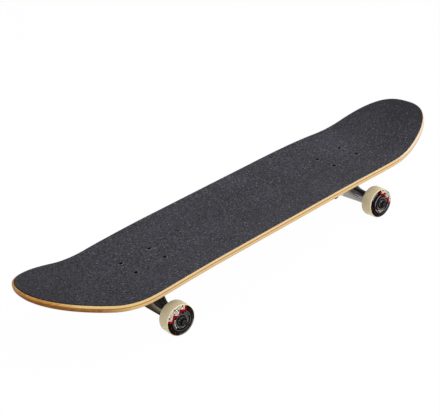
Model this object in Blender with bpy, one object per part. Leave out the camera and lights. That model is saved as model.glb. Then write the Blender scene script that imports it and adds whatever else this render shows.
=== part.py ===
"""A popsicle skateboard: a pressed maple deck with grip tape, two trucks and four wheels.

Metres, +Z up. The board stands on its wheels at z = 0, centred on the origin.
The nose, the longer and steeper end, points along -X. Left is -Y, as seen by a rider facing the nose.
Each truck is drawn once in its own frame: +X towards the middle of the board, -Z down from the
deck's underside. The tail truck is the same truck turned half round.
"""

from math import acos, atan2, cos, pi, radians, sin, sqrt, tan

import bmesh
import bpy
from mathutils import Matrix, Vector

# Clearances between neighbouring solids
GAP = 0.0003

# Deck outline
DECK_WIDTH = 0.2032
WHEELBASE = 0.36195
BOLT_LENGTH_PITCH = 0.05398
BOLT_WIDTH_PITCH = 0.04128
NOSE_REACH = 0.1763
TAIL_REACH = 0.1557
NOSE_TAPER_START = 0.0141
TAIL_TAPER_START = 0.0847
NOSE_FULLNESS = (2.42, 2.19)
TAIL_FULLNESS = (2.94, 2.61)

# Deck section and bends
DECK_THICKNESS = 0.0103
EDGE_RADIUS = 0.0035
CONCAVE_DEPTH = 0.0075
CONCAVE_POWER = 2.14
CONCAVE_FADE = 0.125
NOSE_KICK_START = 0.0168
NOSE_KICK_BEND = 0.0646
NOSE_KICK_ANGLE = radians(23.7)
TAIL_KICK_START = 0.0154
TAIL_KICK_BEND = 0.0554
TAIL_KICK_ANGLE = radians(18.6)

# Grip tape
GRIP_THICKNESS = 0.0008
GRIP_INSET = 0.0018
GRIP_NOSE_INSET = 0.0045

# Deck bolts and their lock nuts
BOLT_RADIUS = 0.0024
BOLT_LENGTH = 0.0254
BOLT_HEAD_RADIUS = 0.0048
BOLT_HEAD_RIM = 0.0004
BOLT_HEAD_DEPTH = 0.0028
BOLT_SINK = 0.0002
SOCKET_ACROSS_FLATS = 0.004
SOCKET_DEPTH = 0.0016
LOCK_NUT_ACROSS_FLATS = 0.0095
LOCK_NUT_HEIGHT = 0.0048

# Truck layout, measured from the middle of its bolt pattern
TRUCK_HEIGHT = 0.0564
AXLE_SETBACK = 0.0076
RING_REACH = 0.0096
RING_DROP = 0.036
KINGPIN_LEAN = radians(13)
PIVOT_SETBACK = 0.024
PIVOT_DROP = 0.0145

# Baseplate
BASE_LENGTH = 0.082
BASE_WIDTH = 0.057
BASE_THICKNESS = 0.0052
BASE_CORNER = 0.009
BASE_EDGE = 0.0012
BOSS_RADIUS = 0.0137
BOSS_FLARE = 0.0028
SOCKET_WALL = 0.003
SOCKET_FLOOR = 0.0024
RIB_WIDTH = 0.011
RIB_DROP = 0.0125

# Kingpin and what it clamps
KINGPIN_RADIUS = 0.00476
KINGPIN_HEAD_RADIUS = 0.007
KINGPIN_HEAD_HEIGHT = 0.0045
KINGPIN_TAIL = 0.0022
WASHER_THICKNESS = 0.0019
BOARD_WASHER_RADIUS = 0.0133
ROAD_WASHER_RADIUS = 0.01
BARREL_HEIGHT = 0.015
BARREL_RADIUS = 0.0125
BARREL_END_RADIUS = 0.0117
CONE_HEIGHT = 0.0117
CONE_RADIUS = 0.0123
CONE_END_RADIUS = 0.0092
BUSHING_SHOULDER = 0.2
KINGPIN_NUT_ACROSS_FLATS = 0.0143
KINGPIN_NUT_HEIGHT = 0.009

# Hanger casting
RING_RADIUS = 0.015
RING_THICKNESS = 0.009
RING_BORE = 0.0085
SEAT_DEPTH = 0.0015
STACK_ROOM = 0.0026
HANGER_WIDTH = 0.129
HOUSING_MIDDLE_RADIUS = 0.012
HOUSING_END_RADIUS = 0.0103
GUSSET_REACH = 0.048
RING_GUSSET_POWER = 1.4
PIVOT_GUSSET_POWER = 2.5
ARM_RADIUS = 0.006
ARM_LENGTH = 0.015
NOSE_BALL_RADIUS = 0.006
NOSE_NECK_RADIUS = 0.005

# Pivot cup
CUP_WALL = 0.0012
CUP_LIP = 0.0045

# Axle, its nuts and washers
AXLE_RADIUS = 0.00397
AXLE_TAIL = 0.0007
AXLE_CHAMFER = 0.0006
SPEED_WASHER_RADIUS = 0.0065
SPEED_WASHER_THICKNESS = 0.0008
AXLE_NUT_ACROSS_FLATS = 0.0127
AXLE_NUT_HEIGHT = 0.0055

# Bearings
BEARING_RADIUS = 0.011
BEARING_WIDTH = 0.007
BEARING_RING_WALL = 0.002
SHIELD_RECESS = 0.0004

# Wheels
WHEEL_RADIUS = 0.0255
WHEEL_WIDTH = 0.0266
WHEEL_TREAD = 0.0178
WHEEL_LIP = 0.002
WHEEL_HUB_RADIUS = 0.0132
CORE_WIDTH = 0.0104
CORE_BORE = 0.0085

# Facets
ROUND_STEPS = 20
SMALL_STEPS = 14
FASTENER_STEPS = 12
LOFT_STEPS = 16
DECK_ROWS = 7
END_STATIONS = 9
MIDDLE_STATIONS = 5
GUSSET_STATIONS = 3
LIP_STEPS = 2
BALL_STEPS = 5
CORNER_STEPS = 3
SMOOTH_ANGLE = radians(35)

# Colours, roughness and metallic value
FINISHES = {
    "maple": ((0.80, 0.56, 0.30), 0.45, 0.0),
    "grit": ((0.055, 0.055, 0.065), 0.95, 0.0),
    "cast_metal": ((0.52, 0.52, 0.50), 0.42, 0.9),
    "bright_steel": ((0.62, 0.62, 0.61), 0.25, 1.0),
    "black_steel": ((0.03, 0.03, 0.032), 0.4, 0.8),
    "white_urethane": ((0.80, 0.74, 0.60), 0.4, 0.0),
    "bushing_urethane": ((0.10, 0.10, 0.11), 0.5, 0.0),
    "black_nylon": ((0.02, 0.02, 0.022), 0.55, 0.0),
}

# Derived places
OUTER_BOLT = WHEELBASE / 2 + BOLT_LENGTH_PITCH
NOSE_TIP = OUTER_BOLT + NOSE_REACH
TAIL_TIP = OUTER_BOLT + TAIL_REACH
DECK_SHIFT = (NOSE_TIP - TAIL_TIP) / 2
TRUCK_REACH = WHEELBASE / 2 + BOLT_LENGTH_PITCH / 2
UNDERSIDE = WHEEL_RADIUS + TRUCK_HEIGHT
DECK_TOP = UNDERSIDE + DECK_THICKNESS
AXLE_BORE = AXLE_RADIUS + GAP
KINGPIN_BORE = KINGPIN_RADIUS + GAP
RING_CENTRE = Vector((RING_REACH, 0, -RING_DROP))
PIVOT_CENTRE = Vector((-PIVOT_SETBACK, 0, -PIVOT_DROP))
AXLE_CENTRE = Vector((-AXLE_SETBACK, 0, -TRUCK_HEIGHT))
CUP_RADIUS = NOSE_BALL_RADIUS + GAP + CUP_WALL
SOCKET_RADIUS = CUP_RADIUS + GAP

# Places along the kingpin, from the ring's middle, positive towards the road
BARREL_FOOT = -(RING_THICKNESS / 2 - SEAT_DEPTH) - GAP
BARREL_TOP = BARREL_FOOT - BARREL_HEIGHT
BOARD_WASHER_TOP = BARREL_TOP - GAP - WASHER_THICKNESS
BOSS_SEAT = BOARD_WASHER_TOP - GAP
CONE_TOP = -BARREL_FOOT
CONE_FOOT = CONE_TOP + CONE_HEIGHT
ROAD_WASHER_TOP = CONE_FOOT + GAP
ROAD_WASHER_FOOT = ROAD_WASHER_TOP + WASHER_THICKNESS
KINGPIN_NUT_TOP = ROAD_WASHER_FOOT + GAP
KINGPIN_NUT_FOOT = KINGPIN_NUT_TOP + KINGPIN_NUT_HEIGHT
KINGPIN_END = KINGPIN_NUT_FOOT + KINGPIN_TAIL
KINGPIN_HEAD_TOP = -(RING_DROP - GAP - KINGPIN_HEAD_RADIUS * sin(KINGPIN_LEAN)) / cos(KINGPIN_LEAN) + GAP
KINGPIN_HEAD_FOOT = KINGPIN_HEAD_TOP + KINGPIN_HEAD_HEIGHT

# Places along the axle, from the board's middle line
HANGER_END = HANGER_WIDTH / 2
INNER_WASHER = HANGER_END + GAP
INNER_BEARING = INNER_WASHER + SPEED_WASHER_THICKNESS + GAP
CORE_START = INNER_BEARING + BEARING_WIDTH + GAP
CORE_END = CORE_START + CORE_WIDTH
OUTER_WASHER = CORE_END + GAP + BEARING_WIDTH + GAP
AXLE_NUT = OUTER_WASHER + SPEED_WASHER_THICKNESS + GAP
WHEEL_MIDDLE = (CORE_START + CORE_END) / 2


def clear_scene():
    for thing in list(bpy.data.objects):
        bpy.data.objects.remove(thing, do_unlink=True)


def make_material(name):
    colour, roughness, metallic = FINISHES[name]
    material = bpy.data.materials.new(name)
    material.use_nodes = True
    shader = material.node_tree.nodes["Principled BSDF"]
    shader.inputs["Base Color"].default_value = (*colour, 1)
    shader.inputs["Roughness"].default_value = roughness
    shader.inputs["Metallic"].default_value = metallic
    material.diffuse_color = (*colour, 1)
    return material


def mesh_of_rings(name, rings):
    """Skins a run of rings of points.

    A ring of one point is a pole. Without poles the last ring meets the first.
    """
    shape = bmesh.new()
    rows = [[shape.verts.new(point) for point in ring] for ring in rings]
    pairs = list(zip(rows, rows[1:]))
    if len(rows[0]) > 1:
        pairs.append((rows[-1], rows[0]))
    for first, second in pairs:
        count = max(len(first), len(second))
        for i in range(count):
            k = (i + 1) % count
            corners = [first[i % len(first)], first[k % len(first)]]
            corners += [second[k % len(second)], second[i % len(second)]]
            shape.faces.new(list(dict.fromkeys(corners)))
    bmesh.ops.recalc_face_normals(shape, faces=shape.faces)
    mesh = bpy.data.meshes.new(name)
    shape.to_mesh(mesh)
    shape.free()
    return mesh


def circle(radius, height, steps):
    """One ring round Z, or a pole where the radius is nothing."""
    if radius == 0:
        return [Vector((0, 0, height))]
    return [
        Vector((radius * cos(2 * pi * i / steps), radius * sin(2 * pi * i / steps), height))
        for i in range(steps)
    ]


def hexagon(across_flats, height):
    """A hexagon's corners and the middles of its sides, as one ring."""
    flat = across_flats / 2
    corner = flat / cos(pi / 6)
    points = []
    for i in range(FASTENER_STEPS):
        radius = (corner, flat)[i % 2]
        turn = 2 * pi * i / FASTENER_STEPS
        points.append(Vector((radius * cos(turn), radius * sin(turn), height)))
    return points


def turned(name, profile, steps=ROUND_STEPS):
    """A solid of revolution round Z from (radius, height) points."""
    return mesh_of_rings(name, [circle(radius, height, steps) for radius, height in profile])


def nut_mesh(name, across_flats, bore, height, chamfer):
    """A hexagon nut that stands on z = 0, its corners chamfered at both ends where asked."""
    rings = [circle(bore, 0, FASTENER_STEPS)]
    if chamfer:
        rings.append(circle(across_flats / 2 - chamfer / 2, 0, FASTENER_STEPS))
    rings.append(hexagon(across_flats, chamfer))
    rings.append(hexagon(across_flats, height - chamfer))
    if chamfer:
        rings.append(circle(across_flats / 2 - chamfer / 2, height, FASTENER_STEPS))
    rings.append(circle(bore, height, FASTENER_STEPS))
    return mesh_of_rings(name, rings)


def add_object(name, mesh, finish, parent=None, place=Matrix()):
    """Adds a node, smooth where its faces meet at a shallow angle."""
    thing = bpy.data.objects.new(name, mesh)
    bpy.context.scene.collection.objects.link(thing)
    if not mesh.materials:
        mesh.materials.append(MATERIALS[finish])
        mesh.shade_smooth()
        mesh.set_sharp_from_angle(angle=SMOOTH_ANGLE)
    thing.parent = parent
    thing.matrix_local = place
    return thing


def add_empty(name, parent=None, place=Matrix()):
    frame = bpy.data.objects.new(name, None)
    frame.empty_display_size = 0.02
    bpy.context.scene.collection.objects.link(frame)
    frame.parent = parent
    frame.matrix_local = place
    return frame


def add_helper(name, mesh, parent=None, place=Matrix()):
    """Adds a shape that only joins or cuts others."""
    helper = bpy.data.objects.new(name, mesh)
    bpy.context.scene.collection.objects.link(helper)
    helper.hide_render = True
    helper.display_type = "WIRE"
    helper.parent = parent
    helper.matrix_local = place
    return helper


def combine(thing, helper, operation):
    modifier = thing.modifiers.new(helper.name, "BOOLEAN")
    modifier.operation = operation
    modifier.solver = "EXACT"
    modifier.object = helper


def join_shape(thing, name, mesh, parent, place=Matrix()):
    combine(thing, add_helper(name, mesh, parent, place), "UNION")


def cut_shape(thing, name, mesh, parent, place=Matrix()):
    combine(thing, add_helper(name, mesh, parent, place), "DIFFERENCE")


def about_y(angle):
    return Matrix.Rotation(angle, 4, "Y")


def frame_at(point, angle):
    """A frame at a point of the truck, with its Z turned about Y by an angle."""
    return Matrix.Translation(point) @ about_y(angle)


KINGPIN_FRAME = frame_at(RING_CENTRE, -KINGPIN_LEAN)
PIVOT_SLOPE = atan2(RING_REACH + PIVOT_SETBACK, RING_DROP - PIVOT_DROP)
PIVOT_FRAME = frame_at(PIVOT_CENTRE, -PIVOT_SLOPE)
AXLE_FRAME = Matrix.Translation(AXLE_CENTRE) @ Matrix.Rotation(-pi / 2, 4, "X")


def along_kingpin(profile):
    """Turns places measured down the kingpin into heights of the kingpin's frame."""
    return [(radius, -place) for radius, place in profile]


def smoothstep(value):
    value = min(max(value, 0), 1)
    return value * value * (3 - 2 * value)


def kick_height(run, bend, angle):
    """Height of a kick: an arc over the bend's length, then a straight slope."""
    if run <= 0:
        return 0
    radius = bend / sin(angle)
    on_arc = min(run, bend)
    return radius - sqrt(radius * radius - on_arc * on_arc) + tan(angle) * max(run - bend, 0)


def deck_height(x, y):
    """Height of the deck's top at a point of the plan."""
    x -= DECK_SHIFT
    rise = 0
    fade = 1
    for along, tip, start, bend, angle in (
        (-x, NOSE_TIP, NOSE_KICK_START, NOSE_KICK_BEND, NOSE_KICK_ANGLE),
        (x, TAIL_TIP, TAIL_KICK_START, TAIL_KICK_BEND, TAIL_KICK_ANGLE),
    ):
        run = along - OUTER_BOLT - start
        rise += kick_height(run, bend, angle)
        fade *= 1 - smoothstep((run + CONCAVE_FADE) / (tip - OUTER_BOLT - start + CONCAVE_FADE))
    return DECK_TOP + rise + CONCAVE_DEPTH * (abs(y) / (DECK_WIDTH / 2)) ** CONCAVE_POWER * fade


def deck_depth(x, y):
    """The deck's thickness measured straight down, which a slope makes larger."""
    step = EDGE_RADIUS
    slope_x = (deck_height(x + step, y) - deck_height(x - step, y)) / (2 * step)
    slope_y = (deck_height(x, y + step) - deck_height(x, y - step)) / (2 * step)
    return DECK_THICKNESS * sqrt(1 + slope_x * slope_x + slope_y * slope_y)


def outline_end(tip, taper_start, fullness, inset, turn):
    """A point of one rounded end, as distance along the board and half width."""
    start = OUTER_BOLT - taper_start
    along = start + (tip - inset - start) * sin(turn) ** (2 / fullness[0])
    half = (DECK_WIDTH / 2 - inset) * max(cos(turn), 0) ** (2 / fullness[1])
    return along, half


def outline(inset, nose_extra):
    """(x, half width, inset) from the nose's tip to the tail's, drawn in from the edge.

    Round the nose the inset grows by up to nose_extra at the tip.
    """
    turns = [pi / 2 * i / END_STATIONS for i in range(END_STATIONS)]
    nose = [(-NOSE_TIP + inset + nose_extra, 0, inset + nose_extra)]
    for turn in reversed(turns):
        here = inset + nose_extra * sin(turn)
        along, half = outline_end(NOSE_TIP, NOSE_TAPER_START, NOSE_FULLNESS, here, turn)
        nose.append((-along, half, here))
    tail = []
    for turn in turns:
        tail.append((*outline_end(TAIL_TIP, TAIL_TAPER_START, TAIL_FULLNESS, inset, turn), inset))
    tail.append((TAIL_TIP - inset, 0, inset))
    first, last = nose[-1][0], tail[0][0]
    middle = []
    for i in range(1, MIDDLE_STATIONS):
        middle.append((first + (last - first) * i / MIDDLE_STATIONS, DECK_WIDTH / 2 - inset, inset))
    return [(x + DECK_SHIFT, half, here) for x, half, here in nose + middle + tail]


def sheet_mesh(name, lift, drop, rim, nose_extra=0):
    """A pressed sheet.

    Its top is the deck's surface raised by lift, and its foot is that surface lowered by drop(x, y).
    rim lists (inset, share of the way down, sign) for the rings round its edge, top to bottom: the
    deck's rounding lowers a ring where the sign is 1 and raises it where it is -1.
    """
    shape = bmesh.new()

    def vertex(x, y, share, extra=0):
        return shape.verts.new((x, y, deck_height(x, y) + lift - share * drop(x, y) - extra))

    def grid(share):
        rows = []
        for x, half, _ in outline(EDGE_RADIUS, nose_extra):
            spread = [2 * j / DECK_ROWS - 1 for j in range(DECK_ROWS + 1)] if half else [0]
            rows.append([vertex(x, half * part, share) for part in spread])
        return rows

    def ring_of(rows):
        one_side = [row[-1] for row in rows[1:-1]]
        other_side = [row[0] for row in rows[-2:0:-1]]
        return [rows[0][0]] + one_side + [rows[-1][0]] + other_side

    def ring(inset, share, sign):
        line = outline(inset, nose_extra)
        points = line + [(x, -half, here) for x, half, here in line[-2:0:-1]]
        return [vertex(x, y, share, sign * edge_drop(here)) for x, y, here in points]

    def skin(first, second):
        count = len(first)
        for i in range(count):
            k = (i + 1) % count
            shape.faces.new((first[i], first[k], second[k], second[i]))

    sheets = [grid(0), grid(1)]
    for rows in sheets:
        for first, second in zip(rows, rows[1:]):
            for j in range(DECK_ROWS):
                corners = [first[min(j, len(first) - 1)], first[min(j + 1, len(first) - 1)]]
                corners += [second[min(j + 1, len(second) - 1)], second[min(j, len(second) - 1)]]
                shape.faces.new(list(dict.fromkeys(corners)))
    rings = [ring_of(sheets[0])] + [ring(*place) for place in rim] + [ring_of(sheets[1])]
    for first, second in zip(rings, rings[1:]):
        skin(first, second)
    bmesh.ops.recalc_face_normals(shape, faces=shape.faces)
    mesh = bpy.data.meshes.new(name)
    shape.to_mesh(mesh)
    shape.free()
    return mesh


def edge_drop(inset):
    """How far the rounded edge has fallen at this distance in from the outline."""
    reach = max(EDGE_RADIUS - inset, 0)
    return EDGE_RADIUS - sqrt(EDGE_RADIUS * EDGE_RADIUS - reach * reach)


def deck_rim():
    """The deck's edge: a rounding over the top, a flat middle and a rounding below."""
    insets = [EDGE_RADIUS * (1 - sin(turn)) for turn in (pi / 4, pi / 2)]
    return [(inset, 0, 1) for inset in insets] + [(inset, 1, -1) for inset in reversed(insets)]


def bolt_places():
    """(name, x, y) of each deck bolt."""
    places = []
    for end, side in (("nose", -1), ("tail", 1)):
        for row, along in (("outer", OUTER_BOLT), ("inner", OUTER_BOLT - BOLT_LENGTH_PITCH)):
            for hand, y in (("left", -BOLT_WIDTH_PITCH / 2), ("right", BOLT_WIDTH_PITCH / 2)):
                places.append((f"{end}_{row}_{hand}", side * along + DECK_SHIFT, y))
    return places


def bolt_top(x, y):
    return deck_height(x, y) + GAP + GRIP_THICKNESS - BOLT_SINK


def bolt_mesh():
    """A countersunk bolt with a hexagon socket. Its head's face is at z = 0."""
    rings = [
        circle(0, -SOCKET_DEPTH, FASTENER_STEPS),
        hexagon(SOCKET_ACROSS_FLATS, -SOCKET_DEPTH),
        hexagon(SOCKET_ACROSS_FLATS, 0),
        circle(BOLT_HEAD_RADIUS, 0, FASTENER_STEPS),
        circle(BOLT_HEAD_RADIUS, -BOLT_HEAD_RIM, FASTENER_STEPS),
        circle(BOLT_RADIUS, -BOLT_HEAD_DEPTH, FASTENER_STEPS),
        circle(BOLT_RADIUS, -BOLT_LENGTH, FASTENER_STEPS),
        circle(0, -BOLT_LENGTH, FASTENER_STEPS),
    ]
    return mesh_of_rings("deck_bolt", rings)


def bolt_hole_mesh():
    """The countersunk hole that a deck bolt needs, with its clearance."""
    over = BOLT_HEAD_DEPTH
    through = DECK_THICKNESS + GRIP_THICKNESS + CONCAVE_DEPTH
    profile = (
        (0, over),
        (BOLT_HEAD_RADIUS + GAP, over),
        (BOLT_HEAD_RADIUS + GAP, -BOLT_HEAD_RIM),
        (BOLT_RADIUS + GAP, -BOLT_HEAD_DEPTH - GAP),
        (BOLT_RADIUS + GAP, -through),
        (0, -through),
    )
    return turned("bolt_hole", profile, FASTENER_STEPS)


def build_deck():
    deck = add_object("deck", sheet_mesh("deck", 0, deck_depth, deck_rim()), "maple")
    grip_rim = [(GRIP_INSET, 0, 1), (GRIP_INSET, 1, 1)]
    nose_extra = GRIP_NOSE_INSET - GRIP_INSET

    def grip_depth(x, y):
        return GRIP_THICKNESS

    grip_mesh = sheet_mesh("grip_tape", GAP + GRIP_THICKNESS, grip_depth, grip_rim, nose_extra)
    grip = add_object("grip_tape", grip_mesh, "grit")
    bolt = bolt_mesh()
    hole = bolt_hole_mesh()
    nut = nut_mesh("lock_nut", LOCK_NUT_ACROSS_FLATS, BOLT_RADIUS + GAP, LOCK_NUT_HEIGHT, 0)
    nut_foot = UNDERSIDE - GAP - BASE_THICKNESS - GAP - LOCK_NUT_HEIGHT
    for name, x, y in bolt_places():
        place = Matrix.Translation((x, y, bolt_top(x, y)))
        add_object(f"deck_bolt_{name}", bolt, "black_steel", place=place)
        add_object(f"lock_nut_{name}", nut, "bright_steel", place=Matrix.Translation((x, y, nut_foot)))
        cutter = add_helper(f"bolt_hole_{name}", hole, place=place)
        combine(deck, cutter, "DIFFERENCE")
        combine(grip, cutter, "DIFFERENCE")


def flange_mesh():
    """The baseplate's flange: a plate with round corners and softened lower edges."""
    shape = bmesh.new()
    bmesh.ops.create_cube(shape, size=1)
    bmesh.ops.scale(shape, verts=shape.verts, vec=(BASE_LENGTH, BASE_WIDTH, BASE_THICKNESS))
    bmesh.ops.translate(shape, verts=shape.verts, vec=(0, 0, -GAP - BASE_THICKNESS / 2))
    corners = [e for e in shape.edges if abs(e.verts[0].co.z - e.verts[1].co.z) > BASE_THICKNESS / 2]
    rounding = {"profile": 0.5, "affect": "EDGES"}
    bmesh.ops.bevel(shape, geom=corners, offset=BASE_CORNER, segments=CORNER_STEPS, **rounding)
    foot = -GAP - BASE_THICKNESS / 2
    rim = [e for e in shape.edges if max(v.co.z for v in e.verts) < foot]
    bmesh.ops.bevel(shape, geom=rim, offset=BASE_EDGE, segments=1, **rounding)
    mesh = bpy.data.meshes.new("flange")
    shape.to_mesh(mesh)
    shape.free()
    return mesh


def box_mesh(name, low, high):
    shape = bmesh.new()
    bmesh.ops.create_cube(shape, size=1)
    low, high = Vector(low), Vector(high)
    bmesh.ops.scale(shape, verts=shape.verts, vec=high - low)
    bmesh.ops.translate(shape, verts=shape.verts, vec=(low + high) / 2)
    mesh = bpy.data.meshes.new(name)
    shape.to_mesh(mesh)
    shape.free()
    return mesh


def build_baseplate(end, truck):
    """The flange with its leaning kingpin boss, the pivot's socket and the rib between them."""
    plate = add_object(f"{end}_baseplate", flange_mesh(), "cast_metal", truck)
    flange_foot = -GAP - BASE_THICKNESS
    boss_start = -RING_DROP / cos(KINGPIN_LEAN)
    boss = along_kingpin(
        (
            (0, boss_start),
            (BOSS_RADIUS + BOSS_FLARE, boss_start),
            (BOSS_RADIUS + BOSS_FLARE, BOSS_SEAT - (BOSS_SEAT - boss_start) / 2),
            (BOSS_RADIUS, BOSS_SEAT),
            (0, BOSS_SEAT),
        )
    )
    join_shape(plate, f"{end}_boss", turned("boss", boss, SMALL_STEPS), truck, KINGPIN_FRAME)
    rib_low = (-PIVOT_SETBACK, -RIB_WIDTH / 2, -RIB_DROP)
    rib_high = (RING_REACH, RIB_WIDTH / 2, flange_foot / 2)
    join_shape(plate, f"{end}_rib", box_mesh("rib", rib_low, rib_high), truck)
    socket_outside = SOCKET_RADIUS + SOCKET_WALL
    socket_end = CUP_RADIUS + GAP + SOCKET_FLOOR
    housing = (
        (0, -CUP_LIP),
        (socket_outside - BASE_EDGE, -CUP_LIP),
        (socket_outside, -CUP_LIP + BASE_EDGE),
        (socket_outside, socket_end - BASE_EDGE),
        (socket_outside - BASE_EDGE, socket_end),
        (0, socket_end),
    )
    join_shape(plate, f"{end}_housing", turned("housing", housing, SMALL_STEPS), truck, PIVOT_FRAME)
    over = box_mesh("over", (-BASE_LENGTH, -BASE_WIDTH, -GAP), (BASE_LENGTH, BASE_WIDTH, RING_DROP))
    cut_shape(plate, f"{end}_over", over, truck)
    socket = (
        (0, -PIVOT_DROP * 2),
        (SOCKET_RADIUS, -PIVOT_DROP * 2),
        (SOCKET_RADIUS, CUP_RADIUS - CUP_WALL),
        (SOCKET_RADIUS - CUP_WALL, CUP_RADIUS + GAP),
        (0, CUP_RADIUS + GAP),
    )
    cut_shape(plate, f"{end}_socket", turned("socket", socket, SMALL_STEPS), truck, PIVOT_FRAME)
    bore = along_kingpin(
        (
            (0, boss_start - KINGPIN_HEAD_HEIGHT),
            (KINGPIN_HEAD_RADIUS + GAP, boss_start - KINGPIN_HEAD_HEIGHT),
            (KINGPIN_HEAD_RADIUS + GAP, KINGPIN_HEAD_FOOT + GAP),
            (KINGPIN_BORE, KINGPIN_HEAD_FOOT + GAP),
            (KINGPIN_BORE, BOSS_SEAT + KINGPIN_HEAD_HEIGHT),
            (0, BOSS_SEAT + KINGPIN_HEAD_HEIGHT),
        )
    )
    kingpin_bore = turned("kingpin_bore", bore, SMALL_STEPS)
    cut_shape(plate, f"{end}_kingpin_bore", kingpin_bore, truck, KINGPIN_FRAME)
    hole = turned(
        "base_hole",
        (
            (0, GAP),
            (BOLT_RADIUS + GAP, GAP),
            (BOLT_RADIUS + GAP, 2 * flange_foot),
            (0, 2 * flange_foot),
        ),
        FASTENER_STEPS,
    )
    for i, (along, across) in enumerate(((-1, -1), (-1, 1), (1, -1), (1, 1))):
        place = Matrix.Translation((along * BOLT_LENGTH_PITCH / 2, across * BOLT_WIDTH_PITCH / 2, 0))
        cut_shape(plate, f"{end}_base_hole_{i}", hole, truck, place)


def arc(radius, first, last, steps):
    """(radius, height) points of an arc, its angle measured from the radius towards the height."""
    turns = [first + (last - first) * i / steps for i in range(steps + 1)]
    return [(radius * cos(turn), radius * sin(turn)) for turn in turns]


def pivot_cup_mesh():
    """The cup that the hanger's nose turns in: a sleeve with a round floor."""
    inner = NOSE_BALL_RADIUS + GAP
    inside = [(inner, -CUP_LIP)] + arc(inner, 0, pi / 2, BALL_STEPS)[:-1] + [(0, inner)]
    outside = [(0, CUP_RADIUS), (CUP_RADIUS - CUP_WALL, CUP_RADIUS)]
    outside += [(CUP_RADIUS, CUP_RADIUS - 2 * CUP_WALL), (CUP_RADIUS, -CUP_LIP)]
    profile = [(0, inner)] + list(reversed(inside[:-1])) + list(reversed(outside[1:])) + [(0, CUP_RADIUS)]
    return turned("pivot_cup", profile, SMALL_STEPS)


def washer_mesh(name, radius, bore, thickness):
    return turned(name, ((bore, 0), (radius, 0), (radius, thickness), (bore, thickness)), FASTENER_STEPS)


def kingpin_mesh():
    profile = along_kingpin(
        (
            (0, KINGPIN_HEAD_TOP),
            (KINGPIN_HEAD_RADIUS, KINGPIN_HEAD_TOP),
            (KINGPIN_HEAD_RADIUS, KINGPIN_HEAD_FOOT),
            (KINGPIN_RADIUS, KINGPIN_HEAD_FOOT),
            (KINGPIN_RADIUS, KINGPIN_END - AXLE_CHAMFER),
            (KINGPIN_RADIUS - AXLE_CHAMFER, KINGPIN_END),
            (0, KINGPIN_END),
        )
    )
    return turned("kingpin", profile, FASTENER_STEPS)


def bushing_mesh(name, top, foot, profile):
    """A urethane bushing round the kingpin, from (share of its height, radius) points."""
    outside = [(radius, top + share * (foot - top)) for share, radius in profile]
    section = [(KINGPIN_BORE, top)] + outside + [(KINGPIN_BORE, foot)]
    return turned(name, along_kingpin(section), SMALL_STEPS)


def build_kingpin_stack(end, truck):
    """What the kingpin clamps, from the baseplate's boss down to the nut."""
    barrel = (
        (0, BARREL_END_RADIUS),
        (BUSHING_SHOULDER, BARREL_RADIUS),
        (1 - BUSHING_SHOULDER, BARREL_RADIUS),
        (1, BARREL_END_RADIUS),
    )
    cone = ((0, CONE_RADIUS - GAP), (BUSHING_SHOULDER, CONE_RADIUS), (1, CONE_END_RADIUS))
    add_object(f"{end}_kingpin", kingpin_mesh(), "black_steel", truck, KINGPIN_FRAME)
    for name, top, foot, profile in (
        ("barrel_bushing", BARREL_TOP, BARREL_FOOT, barrel),
        ("cone_bushing", CONE_TOP, CONE_FOOT, cone),
    ):
        mesh = bushing_mesh(name, top, foot, profile)
        add_object(f"{end}_{name}", mesh, "bushing_urethane", truck, KINGPIN_FRAME)
    for name, radius, foot in (
        ("board_washer", BOARD_WASHER_RADIUS, BOARD_WASHER_TOP + WASHER_THICKNESS),
        ("road_washer", ROAD_WASHER_RADIUS, ROAD_WASHER_FOOT),
    ):
        mesh = washer_mesh(name, radius, KINGPIN_BORE, WASHER_THICKNESS)
        place = KINGPIN_FRAME @ Matrix.Translation((0, 0, -foot))
        add_object(f"{end}_{name}", mesh, "bright_steel", truck, place)
    nut = nut_mesh("kingpin_nut", KINGPIN_NUT_ACROSS_FLATS, KINGPIN_BORE, KINGPIN_NUT_HEIGHT, AXLE_CHAMFER)
    place = KINGPIN_FRAME @ Matrix.Translation((0, 0, -KINGPIN_NUT_FOOT))
    add_object(f"{end}_kingpin_nut", nut, "black_steel", truck, place)
    add_object(f"{end}_pivot_cup", pivot_cup_mesh(), "black_nylon", truck, PIVOT_FRAME)


def hanger_section(y):
    """The casting's cross-section at a distance from the middle, as the hull of three round lobes.

    One lobe is the axle's housing. One runs from it up the gusset to the bushing ring and round the
    ring's outer half. One runs from it up to the arm that ends in the pivot's nose.
    """
    away = abs(y)
    share = away / HANGER_END
    housing_radius = HOUSING_MIDDLE_RADIUS + (HOUSING_END_RADIUS - HOUSING_MIDDLE_RADIUS) * share
    axle = Vector((AXLE_CENTRE.x, AXLE_CENTRE.z))
    ring = Vector((RING_CENTRE.x, RING_CENTRE.z))
    arm = Vector((PIVOT_CENTRE.x, PIVOT_CENTRE.z))
    arm += Vector((sin(PIVOT_SLOPE), -cos(PIVOT_SLOPE))) * ARM_LENGTH
    ring_middle = (RING_RADIUS + RING_BORE) / 2
    outward = sqrt(max(ring_middle * ring_middle - y * y, 0))
    ring_lobe = ring - Vector((cos(KINGPIN_LEAN), sin(KINGPIN_LEAN))) * outward
    lobes = [(axle, housing_radius)]
    for target, radius, start, power in (
        (ring_lobe, RING_THICKNESS / 2, ring_middle, RING_GUSSET_POWER),
        (arm, ARM_RADIUS, ARM_RADIUS, PIVOT_GUSSET_POWER),
    ):
        reach = min(max((GUSSET_REACH - away) / (GUSSET_REACH - start), 0), 1) ** power
        lobes.append((axle.lerp(target, reach), housing_radius + (radius - housing_radius) * reach))
    points = []
    for i in range(LOFT_STEPS):
        normal = Vector((cos(2 * pi * i / LOFT_STEPS), sin(2 * pi * i / LOFT_STEPS)))
        centre, radius = max(lobes, key=lambda lobe: lobe[0].dot(normal) + lobe[1])
        edge = centre + normal * radius
        points.append(Vector((edge.x, y, edge.y)))
    return points


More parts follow.
